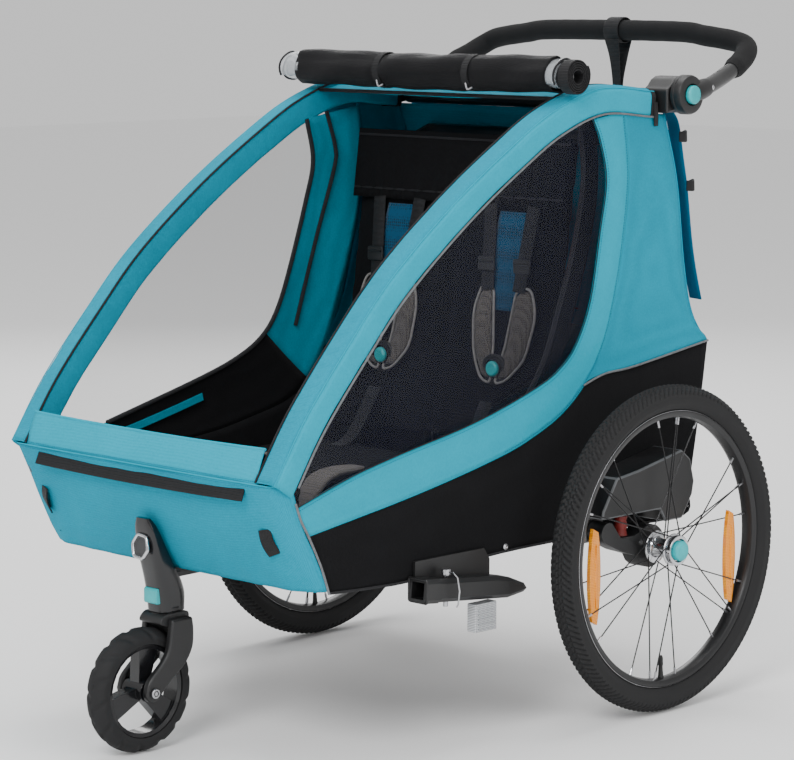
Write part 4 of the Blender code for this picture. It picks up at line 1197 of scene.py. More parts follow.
def cushion(name, rows_front, rows_back, material, body, slot):
    """A closed form between two grids of points of the same size."""
    bm = bmesh.new()
    front = skin(bm, rows_front)
    back = skin(bm, rows_back)
    rim_front = front[0] + [row[-1] for row in front[1:-1]] + front[-1][::-1] + [row[0] for row in front[-2:0:-1]]
    rim_back = back[0] + [row[-1] for row in back[1:-1]] + back[-1][::-1] + [row[0] for row in back[-2:0:-1]]
    count = len(rim_front)
    for i in range(count):
        j = (i + 1) % count
        bm.faces.new((rim_front[i], rim_front[j], rim_back[j], rim_back[i]))
    return make(name, bm, material, body, slot)


def build_seats(look):
    """Bench and backrest cushions, sewn across into channels."""
    rows_front, rows_back = [], []
    for r in range(25):
        z = 0.386 + 0.468 * r / 24
        front, back = [], []
        for c in range(41):
            share = -1 + 2 * c / 40
            x = (SEAT_HALF - 0.006) * share
            pinch = 0.0045 * math.exp(-(share / 0.035) ** 2)
            front.append((x, seat_back_y(z) + 0.0065 + pinch, z))
            back.append((x, seat_back_y(z) + 0.0180, z))
        rows_front.append(front)
        rows_back.append(back)
    back_cushion = cushion("backrest_cushion", rows_front, rows_back, look["seat"], "backrest",
                           "black_fabric")
    stuffed(back_cushion, 0.0050, 0.007)
    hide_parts("seat_back")

    base = [(-0.207, 0.333), (-0.188, 0.329), (0.090, 0.346)]
    top = [(-0.197, 0.356), (-0.148, 0.366), (0.090, 0.366)]
    low_line = even(smooth_line(base, 6), 25)
    top_line = even(smooth_line(top, 6), 25)
    rows_top = [[((SEAT_HALF - 0.006) * (-1 + 2 * c / 40), p.x, p.y) for c in range(41)] for p in top_line]
    rows_low = [[((SEAT_HALF - 0.006) * (-1 + 2 * c / 40), p.x, p.y) for c in range(41)] for p in low_line]
    bench = cushion("bench_cushion", rows_top, rows_low, look["seat"], "chassis", "black_fabric")
    stuffed(bench, 0.0055, 0.007)
    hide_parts("seat_base")
    crumple(bench)
    build_headrest(look)
    for side, centre in SEAT_CENTRES:
        build_harness(side, centre, look)
        build_leg_pads(side, centre, look)


def build_headrest(look):
    """The flap along the top of the backrest, gathered into upright folds, and mesh below it."""
    rows = []
    for r in range(13):
        z = 0.857 - 0.108 * r / 12
        row = []
        for c in range(121):
            share = -1 + 2 * c / 120
            fold = 0.0014 * math.sin(share * 52 + 1.2 * math.sin(share * 9)) * (r / 12)
            row.append((0.226 * share, seat_back_y(z, 0.0040 + 0.0016 * (r / 12)) - fold, z))
        rows.append(row)
    solid_sheet("headrest_flap", rows, 0.0022, look["seat"], "backrest", "black_fabric")
    for number, z in enumerate((0.848, 0.764)):
        line = [(0.224 * (-1 + 2 * c / 30), seat_back_y(z, 0.0062), z) for c in range(31)]
        piping(f"headrest_binding_{number}", line, 0.0016, look["dark_piping"], "backrest", "black_fabric")
    for side, centre in SEAT_CENTRES:
        rows = []
        for r in range(19):
            z = 0.742 - 0.150 * r / 18
            half = 0.026 + 0.010 * math.sin(math.pi * r / 18)
            rows.append([(centre + half * (-1 + 2 * c / 8), seat_back_y(z, 0.0030), z) for c in range(9)])
        solid_sheet(f"{side}_back_mesh", rows, 0.0012, look["blue_mesh"], "backrest", "teal_fabric")


PAD_HALF_OUTLINE = [
    (0.0035, 0.4800), (0.026, 0.4875), (0.050, 0.521), (0.0555, 0.590), (0.041, 0.6310),
    (0.0190, 0.6280), (0.0130, 0.560),
]


def build_harness(side, centre, look):
    """Two mesh shoulder pads that meet in a V, the straps through them, and the buckle."""
    for half, way in (("outer", 1), ("inner", -1)):
        spread = 0.36 if half == "outer" else 0.12
        way *= 1 if centre > 0 else -1
        outline = rounded([(x * (1 + spread * (z - 0.478) / 0.156), z) for x, z in PAD_HALF_OUTLINE], 0.020,
                          5)
        middle_point = sum(outline, Vector((0, 0))) / len(outline)
        front_rows, back_rows = [], []
        rings = (0.0, 0.35, 0.62, 0.82, 0.94)
        bm = bmesh.new()
        for stand, order in ((0.0125, 1), (0.0030, -1)):
            made = []
            for ring in rings[1:]:
                loop = []
                for corner in outline:
                    spot = middle_point.lerp(corner, ring)
                    dome = 0.0 if order < 0 else 0.0035 * (ring**3)
                    loop.append(bm.verts.new((
                        centre + way * spot.x, seat_back_y(spot.y, stand - dome), spot.y,
                    )))
                made.append(loop)
            hub = bm.verts.new((centre + way * middle_point.x, seat_back_y(middle_point.y, stand),
                                middle_point.y))
            count = len(outline)
            for i in range(count):
                j = (i + 1) % count
                bm.faces.new((hub, made[0][i], made[0][j]))
                for a, b in zip(made, made[1:]):
                    bm.faces.new((a[i], a[j], b[j], b[i]))
            (front_rows if order > 0 else back_rows).extend(made[-1])
        count = len(outline)
        for i in range(count):
            j = (i + 1) % count
            bm.faces.new((front_rows[i], front_rows[j], back_rows[j], back_rows[i]))
        pad = make(f"{side}_{half}_shoulder_pad", bm, look["grey"], "backrest", "grey_padding")
        stuffed(pad, 0.0030, 0.004, pressure=3.0)
        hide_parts(f"{side}_harness")
        edge = [
            (centre + way * (middle_point.x + (p.x - middle_point.x) * 0.985),
             seat_back_y(middle_point.y + (p.y - middle_point.y) * 0.985, 0.0078),
             middle_point.y + (p.y - middle_point.y) * 0.985)
            for p in outline
        ]
        bar(f"{side}_{half}_pad_piping", edge + edge[:2], 0.0020, look["pad_piping"], "backrest",
            "grey_padding", 8)
        top = centre + way * 0.030
        strap = [
            (centre + way * (0.032 + 0.012 * t), seat_back_y(0.622 + 0.130 * t, 0.0105 - 0.0035 * t),
             0.622 + 0.130 * t)
            for t in (i / 8 for i in range(9))
        ]
        ribbon(f"{side}_{half}_shoulder_strap", strap, 0.0250, 0.0020, (0, -1, 0.14), look["webbing"],
               "backrest",
               "black_fabric")
        build_ladder_lock(f"{side}_{half}_strap_slider", top + way * 0.006, 0.662, look)
    low = [
        (centre, seat_back_y(0.500, 0.0030), 0.4760), (centre, seat_back_y(0.455, 0.010), 0.4550),
        (centre, 0.095, 0.4200), (centre, 0.060, 0.3800), (centre, 0.020, 0.3700), (centre, -0.060, 0.3690),
    ]
    crumple(ribbon(f"{side}_crotch_strap", smooth_line(low[1:], 5), 0.025, 0.0018, (0, -0.6, 0.8),
                   look["webbing"],
                   "chassis", "black_fabric"))
    build_buckle(side, centre, look)


def build_ladder_lock(name, x, z, look):
    """A webbing slider: a flat rounded plate and a raised bar."""
    y = seat_back_y(z, 0.0125)
    outline = rounded([(x - 0.0165, z - 0.011), (x + 0.0165, z - 0.011), (x + 0.0165, z + 0.011),
                       (x - 0.0165, z + 0.011)],
                      0.0035, 3)
    slab(name, outline, y - 0.0026, y + 0.0006, look["plastic"], "backrest", "black_plastic", "Y", 0.0009, 2)
    bars = [(x - 0.0140, y - 0.0034, z + 0.0045), (x + 0.0140, y - 0.0034, z + 0.0045)]
    bar(name + "_bar", bars, 0.0018, look["plastic"], "backrest", "black_plastic", 10)


def build_buckle(side, centre, look):
    low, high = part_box(f"{side}_buckle_button")
    y, z = high[1], (low[2] + high[2]) / 2
    outline = rounded([
        (centre - 0.013, z - 0.026), (centre + 0.013, z - 0.026), (centre + 0.0225, z - 0.006),
        (centre + 0.0225, z + 0.013), (centre + 0.010, z + 0.022), (centre - 0.010, z + 0.022),
        (centre - 0.0225, z + 0.013), (centre - 0.0225, z - 0.006),
    ], 0.007, 4)
    slab(f"{side}_buckle", outline, y - 0.0030, y + 0.0035, look["plastic"], "backrest", "black_plastic", "Y",
         0.0018, 3)
    ring = [
        (centre + 0.0142 * math.cos(2 * math.pi * k / 32), y - 0.0034,
         z + 0.0142 * math.sin(2 * math.pi * k / 32))
        for k in range(33)
    ]
    bar(f"{side}_buckle_rim", ring, 0.0012, look["gloss"], "backrest", "black_plastic", 8)


def build_leg_pads(side, centre, look):
    """A pair of grey pads that hang over the front edge of the bench."""
    for half, way in (("outer", 1), ("inner", -1)):
        way *= 1 if centre > 0 else -1
        line = smooth_line([(-0.120, 0.3770), (-0.170, 0.3780), (-0.205, 0.3700), (-0.224, 0.3480),
                            (-0.229, 0.318)], 5)
        x = centre + way * 0.036
        rows_out, rows_in = [], []
        steps = even(line, 17)
        for i, p in enumerate(steps):
            ahead = (steps[min(i + 1, 16)] - steps[max(i - 1, 0)]).normalized()
            out = Vector((ahead.y, -ahead.x)) * -1
            width = 0.0235 * (0.62 + 0.38 * math.sin(math.pi * min(1.0, max(0.0, i / 16)) ** 0.8))
            rows_out.append([(x + width * (-1 + 2 * c / 8), p.x - out.x * 0.004,
                              p.y - out.y * 0.004) for c in range(9)])
            rows_in.append([(x + width * (-1 + 2 * c / 8), p.x + out.x * 0.004,
                             p.y + out.y * 0.004) for c in range(9)])
        pad = cushion(f"{side}_{half}_leg_pad", rows_out, rows_in, look["grey"], "chassis", "grey_padding")
        stuffed(pad, 0.0022, 0.004, pressure=3.0)
        crumple(pad)


# Rolled front cover ---------------------------------------------------------------------------
ROLL_CENTRE = (0.112, 0.9545)


def on_roll(radius, angle):
    return ROLL_CENTRE[0] + radius * math.cos(angle), ROLL_CENTRE[1] + radius * math.sin(angle)


def build_roll(look):
    """The front cover rolled up under the roof's front edge: black cloth outside, clear film at its ends."""
    rows = []
    steps, around = 96, 36
    for i in range(steps + 1):
        x = -0.268 + 0.530 * i / steps
        pinch = sum(math.exp(-((x - at) / 0.010) ** 2) for at in (-0.088, 0.100))
        row = []
        for k in range(around):
            angle = 2 * math.pi * k / around
            radius = 0.0272 - 0.0022 * pinch
            radius += 0.0013 * math.sin(3 * angle + 14 * x) + creased((x * 1.6, math.cos(angle),
                                                                       math.sin(angle)), 0.0022, 2.6)
            radius += 0.0008 * math.sin(2 * angle + 60 * x)
            row.append((x, *on_roll(radius, angle)))
        rows.append(row)
    bm = bmesh.new()
    skin(bm, rows, wrap_along=True)
    roll = make("cover_roll_cloth", bm, look["roll"], "arch", "black_fabric", angle=60.0)
    solid = roll.modifiers.new("thickness", "SOLIDIFY")
    solid.thickness = 0.0022
    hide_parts("cover_roll")
    for side, sign, start in (("left", 1, 0.256), ("right", -1, 0.262)):
        build_roll_end(side, sign, start, look)
    for number, x in enumerate((-0.088, 0.100)):
        ring = []
        for k in range(33):
            angle = 2 * math.pi * k / 32
            ring.append((x, *on_roll(0.0272, angle)))
        face = [(0, math.cos(2 * math.pi * k / 32), math.sin(2 * math.pi * k / 32)) for k in range(33)]
        ribbon(f"roll_strap_{number}", ring, 0.013, 0.0018, face, look["webbing"], "arch", "black_fabric")
        spot = (x, ROLL_CENTRE[0] - 0.0230, ROLL_CENTRE[1] - 0.0150)
        tip = (x + 0.006, ROLL_CENTRE[0] - 0.0250, ROLL_CENTRE[1] - 0.0240)
        bar(f"roll_hook_{number}", smooth_line([spot, tip, (x + 0.014, tip[1] + 0.002, tip[2] + 0.003)], 4),
            0.0017,
            look["steel"], "arch", "plated_steel", 10)


def build_roll_end(side, sign, start, look):
    """Spiral layers of film and black binding that show at the end of the roll."""
    end = 0.2800 if side == "left" else 0.3045
    bm = bmesh.new()
    turns, around = 2.6, 26
    total = int(turns * around)
    low_row, high_row = [], []
    for k in range(total + 1):
        angle = 2 * math.pi * k / around
        radius = 0.0070 + 0.0195 * k / total + 0.0012 * math.sin(k * 0.8)
        tip = end - 0.0030 * (0.5 + 0.5 * math.sin(k * 0.55))
        low_row.append((sign * start, *on_roll(radius, angle)))
        high_row.append((sign * tip, *on_roll(radius, angle)))
    rows = [[Vector(a).lerp(Vector(b), step / 5) for a, b in zip(low_row, high_row)] for step in range(6)]
    skin(bm, rows)
    layers = make(f"{side}_roll_film", bm, look["film_roll"], "arch", "clear_film", angle=60.0)
    solid = layers.modifiers.new("thickness", "SOLIDIFY")
    solid.thickness = 0.0009
    edge = []
    for k in range(total + 1):
        angle = 2 * math.pi * k / around
        radius = 0.0070 + 0.0195 * k / total + 0.0012 * math.sin(k * 0.8)
        edge.append((sign * (end - 0.0018), *on_roll(radius, angle)))
    bar(f"{side}_roll_binding", edge, 0.0017, look["dark_piping"], "arch", "black_fabric", 8)
    if side == "left":
        coil, face = [], []
        for k in range(131):
            angle = 2 * math.pi * k / 26 + 0.6
            radius = 0.0100 + 0.0165 * k / 130
            coil.append((0.2945 + 0.0006 * math.sin(k * 0.5), ROLL_CENTRE[0] + radius * math.cos(angle),
                         ROLL_CENTRE[1] - 0.001 + radius * math.sin(angle)))
            face.append((0, math.cos(angle), math.sin(angle)))
        ribbon("left_roll_strap_bundle", coil, 0.0190, 0.0020, face, look["webbing"], "arch", "black_fabric")


# Wheels ---------------------------------------------------------------------------------------
WHEEL_X = 0.375
WHEEL_CENTRE = (0.237, 0.2475)
FRONT_WHEEL_CENTRE = (-0.480, 0.090)


def block(value, pitch, share, edge=0.18):
    """1 on a tread block and 0 in the groove beside it, with a short slope between."""
    place = (value / pitch) % 1.0
    away = abs(place - 0.5) * 2
    return max(0.0, min(1.0, (share - away) / edge + 0.5))


def road_tread(arc, lean):
    """Fine chevron blocks on the crown, slanted blocks on the shoulders, ribs below them."""
    size = abs(lean)
    if size < 22:
        return 0.0026 * block(arc + 0.00026 * size, 0.0105, 0.66) * block(lean + 22, 14.6, 0.78, 0.3)
    if size < 66:
        return 0.0026 * block(arc - 0.00030 * size, 0.0105, 0.66) * block(lean + 66, 22, 0.84, 0.25)
    if size < 74:
        return 0.0012
    if size < 100:
        return 0.0
    return 0.0006 if size < 108 else 0.0


def chunky_tread(arc, lean):
    """Deep square lugs that alternate from side to side."""
    size = abs(lean)
    shift = 0.0202 if lean > 0 else 0.0
    fade = max(0.0, min(1.0, (84 - size) / 22))
    return 0.0026 * fade * max(0.25 * (size < 12), block(arc + shift + 0.00022 * size, 0.0404, 0.76, 0.30))


def tyre(name, x, centre, outer, half, inner, tread, depth, around, across, material, body):
    """A tyre whose tread is part of its surface. Its widest radius, lugs included, is outer."""
    core = outer - half
    reach = math.degrees(math.acos(max(-1.0, (inner - core) / (half - depth))))
    rows = []
    for step in range(around):
        angle = 2 * math.pi * step / around
        row = []
        for k in range(across + 1):
            lean = reach * (-1 + 2 * k / across)
            rise = half - depth + tread(angle * outer, lean)
            radius = core + rise * math.cos(math.radians(lean))
            row.append((
                x + rise * math.sin(math.radians(lean)),
                centre[0] + radius * math.cos(angle), centre[1] + radius * math.sin(angle),
            ))
        rows.append(row)
    bm = bmesh.new()
    skin(bm, rows, wrap_across=True, wrap_along=True)
    return make(name, bm, material, body, "tyre_rubber", angle=38.0)


def build_side_wheel(side, sign, look):
    body = f"{side}_wheel"
    cover = tyre(f"{side}_tyre_treaded", sign * WHEEL_X, WHEEL_CENTRE, 0.2475, 0.0215, 0.2092, road_tread,
                 0.0026,
                 1040, 44, look["rubber"], body)
    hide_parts(f"{side}_tyre")
    profile = [
        (0.3625, 0.2076), (0.3632, 0.2086), (0.3650, 0.2082), (0.3665, 0.2040), (0.3690, 0.2022),
        (0.3750, 0.2016),
        (0.3810, 0.2022), (0.3835, 0.2040), (0.3850, 0.2082), (0.3868, 0.2086), (0.3875, 0.2076),
        (0.3872, 0.2030), (0.3850, 0.1996), (0.3800, 0.1976), (0.3750, 0.1971), (0.3700, 0.1976),
        (0.3650, 0.1996), (0.3628, 0.2030), (0.3625, 0.2076),
    ]
    rim = turned(f"{side}_rim_profile", profile, WHEEL_CENTRE, look["rim"], body, "black_frame", 144,
                 sign=sign)
    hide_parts(f"{side}_rim")
    for number, x in enumerate((0.3636, 0.3864)):
        edge = [(x - 0.0008, 0.2072), (x, 0.2091), (x + 0.0008, 0.2072), (x, 0.2066), (x - 0.0008, 0.2072)]
        turned(f"{side}_rim_edge_{number}", edge, WHEEL_CENTRE, look["steel"], body, "hub_metal", 144,
               sign=sign)
    build_hub(side, sign, look, body)
    build_spokes(side, sign, look, body)
    build_valve(side, sign, look, body)
    for number, (y, low, high) in enumerate(((0.074, 0.155, 0.299), (0.392, 0.141, 0.286))):
        build_reflector(f"{side}_spoke_reflector_{number}", sign, y, low, high, look, body)
    refined(f"{side}_hub_button", look["teal_plastic"], "teal_plastic", 0.0018, 4)


def build_hub(side, sign, look, body):
    profile = [
        (0.3240, 0.0001), (0.3240, 0.0160), (0.3300, 0.0175), (0.3480, 0.0150), (0.3550, 0.0160),
        (0.3560, 0.0235),
        (0.3568, 0.0245), (0.3582, 0.0245), (0.3590, 0.0235), (0.3600, 0.0165), (0.3640, 0.0142),
        (0.3750, 0.0136),
        (0.3850, 0.0142), (0.3890, 0.0165), (0.3900, 0.0235), (0.3908, 0.0245), (0.3922, 0.0245),
        (0.3930, 0.0235),
        (0.3938, 0.0205), (0.3960, 0.0200), (0.3965, 0.0225), (0.4022, 0.0225), (0.4030, 0.0216),
        (0.4030, 0.0180),
        (0.4010, 0.0168), (0.3992, 0.0160), (0.3992, 0.0001),
    ]
    hub = turned(f"{side}_hub_shell", profile, WHEEL_CENTRE, look["chrome"], body, "hub_metal", 72, sign=sign)
    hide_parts(f"{side}_hub_and_spokes")
    for number, x in enumerate((0.3575, 0.3915)):
        for k in range(12):
            angle = 2 * math.pi * (k + 0.5 * number) / 12
            spot = (sign * x, WHEEL_CENTRE[0] + 0.0212 * math.cos(angle),
                    WHEEL_CENTRE[1] + 0.0212 * math.sin(angle))
            ends = [(spot[0] - 0.0014, *spot[1:]), (spot[0] + 0.0014, *spot[1:])]
            bar(f"{side}_spoke_head_{number}_{k}", ends, 0.0014, look["steel"], body, "hub_metal", 8,
                [0.0011, 0.0015])


def build_spokes(side, sign, look, body):
    """Two sets of twelve spokes, laced two-cross, with a nipple at each rim end."""
    bm, ends = bmesh.new(), []
    for flange, x in enumerate((0.3575, 0.3915)):
        for k in range(12):
            hub_angle = 2 * math.pi * (k + 0.5 * flange) / 12
            turn = math.radians(52 if k % 2 else -52)
            rim_angle = hub_angle + turn
            start = Vector((
                sign * (x + (0.0012 if k % 2 else -0.0012)),
                WHEEL_CENTRE[0] + 0.0212 * math.cos(hub_angle),
                WHEEL_CENTRE[1] + 0.0212 * math.sin(hub_angle),
            ))
            finish = Vector((
                sign * (WHEEL_X + (0.003 if flange else -0.003)),
                WHEEL_CENTRE[0] + 0.1978 * math.cos(rim_angle),
                WHEEL_CENTRE[1] + 0.1978 * math.sin(rim_angle),
            ))
            ends.append((start, finish))
            rod(bm, start, finish, 0.0010, 8)
    make(f"{side}_spokes", bm, look["spoke"], body, "black_frame")
    bm = bmesh.new()
    for start, finish in ends:
        back = (start - finish).normalized()
        rod(bm, finish + back * 0.011, finish - back * 0.001, 0.0019, 8)
    make(f"{side}_nipples", bm, look["steel"], body, "hub_metal")


def rod(bm, start, finish, radius, sides):
    ahead = (finish - start).normalized()
    across = ahead.orthogonal().normalized()
    up = ahead.cross(across)
    rings = [
        [spot + radius * (across * math.cos(a) + up * math.sin(a)) for a in (2 * math.pi * k / sides for k in range(sides))]
        for spot in (start, finish)
    ]
    skin(bm, rings, wrap_along=True, caps=True)


def build_valve(side, sign, look, body):
    x = sign * WHEEL_X
    foot = Vector((x, 0.2310, 0.0506))
    way = Vector((0, -0.03, 1)).normalized()
    path = [foot + way * d for d in (0.0, 0.004, 0.014, 0.018, 0.019, 0.030, 0.034)]
    bar(f"{side}_valve", path, 0.003, look["rubber_smooth"], body, "tyre_rubber", 14,
        [0.0048, 0.0040, 0.0034, 0.0031, 0.0038, 0.0038, 0.0024])


def build_reflector(name, sign, y, low, high, look, body):
    """A leaf-shaped lens with a raised rib down its middle."""
    span = high - low
    rings = []
    bm = bmesh.new()
    for lift, narrow in ((-0.0035, 0.90), (-0.0030, 1.0), (0.0030, 1.0), (0.0042, 0.86), (0.0042, 0.20),
                         (0.0060, 0.12)):
        ring = []
        for way in (1, -1):
            for k in range(24):
                t = (k if way > 0 else 24 - k) / 24
                half = 0.0120 * math.sin(math.pi * min(1.0, max(0.0, 0.06 + 0.88 * t))) ** 0.55
                ring.append((sign * (WHEEL_X + lift), y + way * half * narrow,
                             (low + high) / 2 + (low + span * t - (low + high) / 2) * (0.6 + 0.4 * narrow)))
        rings.append(ring)
    skin(bm, rings, wrap_along=True, caps=True)
    lens = make(name, bm, look["orange"], body, "reflector")
    return lens


def build_fork(look):
    """The caster's crown, curved over the tyre, and an arm each side down to the axle."""
    crown = rounded([
        (-0.4485, 0.1975), (-0.4570, 0.1900), (-0.4585, 0.1838), (-0.4480, 0.1800), (-0.4325, 0.1726),
        (-0.4180, 0.1625), (-0.4050, 0.1500), (-0.4020, 0.1600), (-0.4045, 0.1975),
    ], 0.006, 3)
    piece = slab("caster_crown", crown, -0.0236, 0.0236, look["plastic"], "caster", "black_plastic", "X",
                 0.0055, 4)
    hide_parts("caster_fork")
    neck = [(0.1930, 0.0001), (0.1930, 0.0232), (0.1945, 0.0238), (0.1965, 0.0232), (0.1978, 0.0215),
            (0.1978, 0.0001)]
    turned("caster_neck", neck, (0.0, -0.4270), look["plastic"], "caster", "black_plastic", 48, axis="Z")
    lower = [
        (FRONT_WHEEL_CENTRE[0] + 0.014 * math.cos(math.radians(a)),
         FRONT_WHEEL_CENTRE[1] + 0.014 * math.sin(math.radians(a)))
        for a in range(-30, -201, -19)
    ]
    front = smooth_line([lower[-1], (-0.4870, 0.1080), (-0.4640, 0.1290), (-0.4520, 0.1450),
                         (-0.4470, 0.1680), (-0.4440, 0.1900)], 4)
    rear = smooth_line([(-0.4060, 0.1900), (-0.4035, 0.1700), (-0.4060, 0.1450), (-0.4210, 0.1220),
                        (-0.4450, 0.1040), lower[0]], 4)
    outline = [Vector(p) for p in lower[:-1]] + front + rear[:-1]
    for side, sign in sides():
        low, high = sorted((sign * 0.0226, sign * 0.0340))
        slab(f"{side}_fork_arm", outline, low, high, look["plastic"], "caster", "black_plastic", "X", 0.0034,
             4)


def build_front_wheel(look):
    cover = tyre("front_tyre_lugged", 0.0, FRONT_WHEEL_CENTRE, 0.090, 0.0205, 0.0676, chunky_tread, 0.0026,
                 324, 36, look["rubber"], "front_spin")
    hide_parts("front_tyre")
    for sign, side in ((1, "left"), (-1, "right")):
        ring = [(0.0080, 0.0672), (0.0120, 0.0676), (0.0128, 0.0655), (0.0112, 0.0632), (0.0080, 0.0640),
                (0.0080, 0.0672)]
        turned(f"front_rim_lip_{side}", ring, FRONT_WHEEL_CENTRE, look["gloss"], "front_spin",
               "gloss_black_plastic", 96, sign=sign)
    refined("front_wheel", look["gloss"], "gloss_black_plastic", 0.0022, 3)
    build_fork(look)
    bolt = refined("front_axle_bolt", look["steel"], "plated_steel", 0.0012, 3)
    bolt["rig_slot"] = "plated_steel"
    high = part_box("front_axle_bolt")[1]
    for sign, side in ((1, "left"), (-1, "right")):
        x = sign * (high[0] + 0.0002)
        socket = [(x, FRONT_WHEEL_CENTRE[0] + 0.0040 * math.cos(k * math.pi / 3),
                   FRONT_WHEEL_CENTRE[1] + 0.0040 * math.sin(k * math.pi / 3)) for k in range(7)]
        bar(f"front_bolt_socket_{side}", socket, 0.0007, look["plastic"],
            body_of(nodes["front_axle_bolt"])[0],
            "plated_steel", 6)


def build_front_bracket(look):
    """The gloss tongue with its silver ring, the button below it and the caster's neck."""
    front = smooth_line([(-0.4505, 0.1985), (-0.455, 0.240), (-0.464, 0.280), (-0.4715, 0.320),
                         (-0.4725, 0.337)], 6)
    rear = smooth_line([(-0.4035, 0.1985), (-0.4060, 0.232), (-0.4330, 0.281), (-0.4540, 0.322),
                        (-0.4640, 0.337)], 6)
    count = 26
    rows = []
    for i, (a, b) in enumerate(zip(even(front, count), even(rear, count))):
        t = i / (count - 1)
        half = 0.0205 + 0.0028 * math.sin(math.pi * min(1.0, t * 1.15)) - 0.0075 * max(0.0,
                                                                                       (t - 0.82) / 0.18) ** 2
        middle_y, reach = (a.x + b.x) / 2, (b.x - a.x) / 2
        row = []
        for k in range(40):
            angle = 2 * math.pi * k / 40
            c, d = math.cos(angle), math.sin(angle)
            row.append((
                math.copysign(half * abs(c) ** 0.52, c), middle_y + math.copysign(reach * abs(d) ** 0.62, d),
                (a.y + b.y) / 2 + (a.y - b.y) / 2 * -d,
            ))
        rows.append(row)
    bm = bmesh.new()
    skin(bm, rows, wrap_along=True, caps=True)
    tongue = make("bracket_tongue", bm, look["gloss"], "chassis", "gloss_black_plastic", angle=60.0)
    round_over(tongue, 0.0022, 3, 55.0)
    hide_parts("front_bracket")
    arm = rounded([(-0.0215, -0.4300), (0.0215, -0.4300), (0.0185, -0.3725), (-0.0185, -0.3725)], 0.004, 3)
    slab("bracket_arm", arm, 0.2480, 0.2560, look["plastic"], "chassis", "black_plastic", "Z", 0.0015, 3)
    collar = [(0.1985, 0.0001), (0.1985, 0.0212), (0.2000, 0.0222), (0.2040, 0.0222), (0.2055, 0.0212),
              (0.2055, 0.0001)]
    turned("bracket_collar", collar, (0.0, -0.4270), look["plastic"], "chassis", "black_plastic", 48,
           axis="Z")
    refined("front_release_button", look["teal_plastic"], "teal_plastic", 0.0025, 4)
    centre = Vector((0.0, -0.4715, 0.296))
    tilt = Vector((0.0, -0.985, 0.170)).normalized()
    up = Vector((0.0, 0.170, 0.985)).normalized()
    ring = rounded([
        (0.0172, -0.0030), (0.0105, 0.0150), (-0.0080, 0.0170), (-0.0172, 0.0030), (-0.0105, -0.0150),
        (0.0080, -0.0170),
    ], 0.0045, 4)
    path = [centre + Vector((p.x, 0, 0)) + up * p.y + tilt * 0.0030 for p in ring]
    bar("bracket_ring", path + path[:2], 0.0026, look["chrome"], "chassis", "plated_steel", 14)
    bm = bmesh.new()
    loops = []
    for scale, lift in ((1.0, 0.0020), (0.86, 0.0036), (0.70, 0.0030), (0.62, 0.0012)):
        loops.append([centre + Vector((p.x * scale, 0, 0)) + up * (p.y * scale) + tilt * lift for p in ring])
    skin(bm, loops, wrap_along=True, caps=True)
    make("bracket_recess", bm, look["soft_plastic"], "chassis", "black_plastic")


# Running gear and fittings --------------------------------------------------------------------
def build_suspension(side, sign, look):
    housing = refined(f"{side}_suspension_housing", look["plastic"], "black_plastic", 0.0105, 2)
    # Its rounded edges get the lighter grey moulding: a painted highlight where the edges catch the light.
    housing.data.materials.append(look["edge_highlight_plastic"])
    housing.modifiers["rounded_edges"].material = 1
    refined(f"{side}_swing_arm", look["plastic"], "black_plastic", 0.0028, 3)
    ring = elastomer_profile(side)
    buffer = turned(f"{side}_elastomer_body", ring, (sign * 0.332, 0.184), look["elastomer"], "chassis",
                    "elastomer",
                    40, axis="Z")
    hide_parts(f"{side}_elastomer")
    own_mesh(buffer)
    for number, (y, z) in enumerate(((-0.189, 0.266), (-0.087, 0.2695), (-0.021, 0.273))):
        screw(f"{side}_chassis_screw_{number}", sign, sign * 0.2862, y, z, 0.0048, look)


def elastomer_profile(side):
    low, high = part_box(f"{side}_elastomer")
    z0, z1 = low[2] + 0.0004, high[2] - 0.0004
    profile = [(z0, 0.0001), (z0, 0.0095)]
    for k in range(9):
        t = k / 8
        profile.append((z0 + (z1 - z0) * t, 0.0098 + 0.0010 * math.cos(4 * math.pi * t)))
    return [*profile, (z1, 0.0095), (z1, 0.0001)]


def screw(name, sign, x, y, z, radius, look, body="chassis"):
    """A domed screw head with a shallow round recess in its top."""
    profile = [(0.0, radius), (0.0012, radius), (0.0024, radius * 0.72), (0.0030, radius * 0.34),
               (0.0022, radius * 0.26),
               (0.0022, 0.0001)]
    placed = [(sign * x + along, r) for along, r in profile]
    return turned(name, placed, (y, z), look["steel"], body, "plated_steel", 20, sign=sign)


def build_frame_bars(look):
    """Chassis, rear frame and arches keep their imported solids; the ends get caps."""
    kept = {
        "left_rail": "frame", "right_rail": "frame", "front_cross_tube": "frame", "axle_cross_tube": "frame",
        "rear_cross_tube": "frame", "floor_panel": "soft_plastic", "left_arch_tube": "frame",
        "right_arch_tube": "frame", "top_cross_tube": "frame", "rear_frame": "frame",
    }
    for node, key in kept.items():
        fill_slots(nodes[node], look[key])
    for side, sign in sides():
        for number, y in enumerate((-0.387, 0.401)):
            outline = rounded([(sign * 0.2525, 0.2685), (sign * 0.2765, 0.2685), (sign * 0.2765, 0.2925),
                               (sign * 0.2525, 0.2925)], 0.003, 3)
            slab(f"{side}_rail_cap_{number}", outline, y - 0.002, y + 0.002, look["plastic"], "chassis",
                 "black_plastic", "Y", 0.0012, 2)


def fill_slots(node, material):
    if not node.material_slots:
        node.data.materials.append(material)
    for place in node.material_slots:
        place.material = material
    return node


HANDLE_HALF = [
    (0.3165, 0.362, 0.923), (0.3150, 0.395, 0.931), (0.3035, 0.448, 0.9445), (0.293, 0.503, 0.964),
    (0.280, 0.540, 0.984), (0.255, 0.5489, 0.996), (0.190, 0.5489, 1.005), (0.125, 0.5489, 1.011),
]


